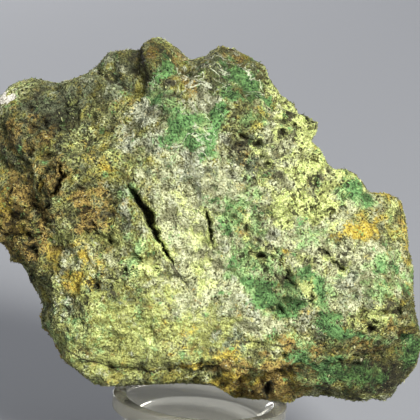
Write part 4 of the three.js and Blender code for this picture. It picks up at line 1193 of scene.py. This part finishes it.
# %% [markdown]
# ## Floor, light and camera
#
# A plain pale floor runs on past the view, so it is also the backdrop. One large soft light from the
# upper right makes the crust on that side glow and leaves the left side and underside in shade. It
# stands far off, so that the floor is lit evenly. A weak one opposite keeps detail in the shade, one
# low behind draws the ring's edges, and one above lights the top. The camera faces the lump's flat
# front, so it looks down by the angle that the lump leans back.

# %% Floor
FLOOR_HALF = 4.0
floor = make_mesh("floor", np.array([(-1, -1, 0), (1, -1, 0), (1, 1, 0), (-1, 1, 0)]) * FLOOR_HALF,
                  np.array([(0, 1, 2, 3)]))
floor_material, shader, wire = new_material("pale_floor")
shader.inputs["Base Color"].default_value = colour(142, 143, 148)
shader.inputs["Roughness"].default_value = 0.9
shader.inputs["Specular IOR Level"].default_value = 0.1
floor.data.materials.append(floor_material)
print("floor side in metres:", 2 * FLOOR_HALF)


# %% Lights
LIGHTS = {  # place in metres, side in metres, watts, colour
    "key": ((0.6, -1.2, 0.84), 0.46, 48, (1.0, 1.0, 0.95)),
    "fill": ((-0.6, -0.5, 0.3), 0.5, 0.9, (0.94, 0.97, 1.0)),
    "back": ((-0.3, 0.75, 0.17), 0.4, 3.4, (1, 1, 1)),
    "top": ((0.1, 0.15, 0.8), 0.5, 1.2, (1, 1, 1)),
}
LUMP_MIDDLE = (0, 0, 0.036)
ROOM_COLOUR = (0.9, 0.95, 1.0, 1.0)
ROOM_STRENGTH = 0.3


def add_object(name, data, axes, place):
    """Links a light or camera whose local axes are the columns of axes, at place in metres."""
    thing = bpy.data.objects.new(name, data)
    bpy.context.collection.objects.link(thing)
    pose = np.eye(4)
    pose[:3, :3], pose[:3, 3] = axes, place
    thing.matrix_world = Matrix(pose.tolist())
    return thing


def soft_light(name, place, size, watts, tint):
    """A square area light that shines along its own -Z, turned to the middle of the lump."""
    data = bpy.data.lights.new(name, "AREA")
    data.size, data.energy, data.color = size, watts, tint
    back = np.array(place) - LUMP_MIDDLE
    back /= np.linalg.norm(back)
    right = np.cross((0, 0, 1), back)
    right /= np.linalg.norm(right)
    return add_object(name, data, np.stack([right, np.cross(back, right), back], 1), place)


for name, plan in LIGHTS.items():
    soft_light(name, *plan)
world = bpy.data.worlds.new("studio")
world.use_nodes = True
room = world.node_tree.nodes["Background"]
room.inputs["Color"].default_value = ROOM_COLOUR
room.inputs["Strength"].default_value = ROOM_STRENGTH
bpy.context.scene.world = world
bpy.context.scene.view_settings.view_transform = "Standard"
print("lights:", list(LIGHTS))

# %% Camera
VIEW_DISTANCE = 380.0  # mm
MM_PER_PIXEL = 0.142
FRAME_PIXELS = 420
MIDDLE_PIXEL = (205, 222)  # where the lump's own middle lies in the picture
camera_data = bpy.data.cameras.new("camera")
half_frame = FRAME_PIXELS / 2 * MM_PER_PIXEL
camera_data.lens = camera_data.sensor_width / 2 * VIEW_DISTANCE / half_frame
off_x = (FRAME_PIXELS / 2 - MIDDLE_PIXEL[0]) * MM_PER_PIXEL
off_z = (MIDDLE_PIXEL[1] - FRAME_PIXELS / 2) * MM_PER_PIXEL
eye = on_shelf(np.array([[off_x, -VIEW_DISTANCE, off_z]]))[0]
look = lean @ np.array([[1, 0, 0], [0, 0, -1], [0, 1, 0]])
bpy.context.scene.camera = add_object("camera", camera_data, look, eye)
print("lens mm:", round(camera_data.lens, 1), "camera at:", eye.round(3))
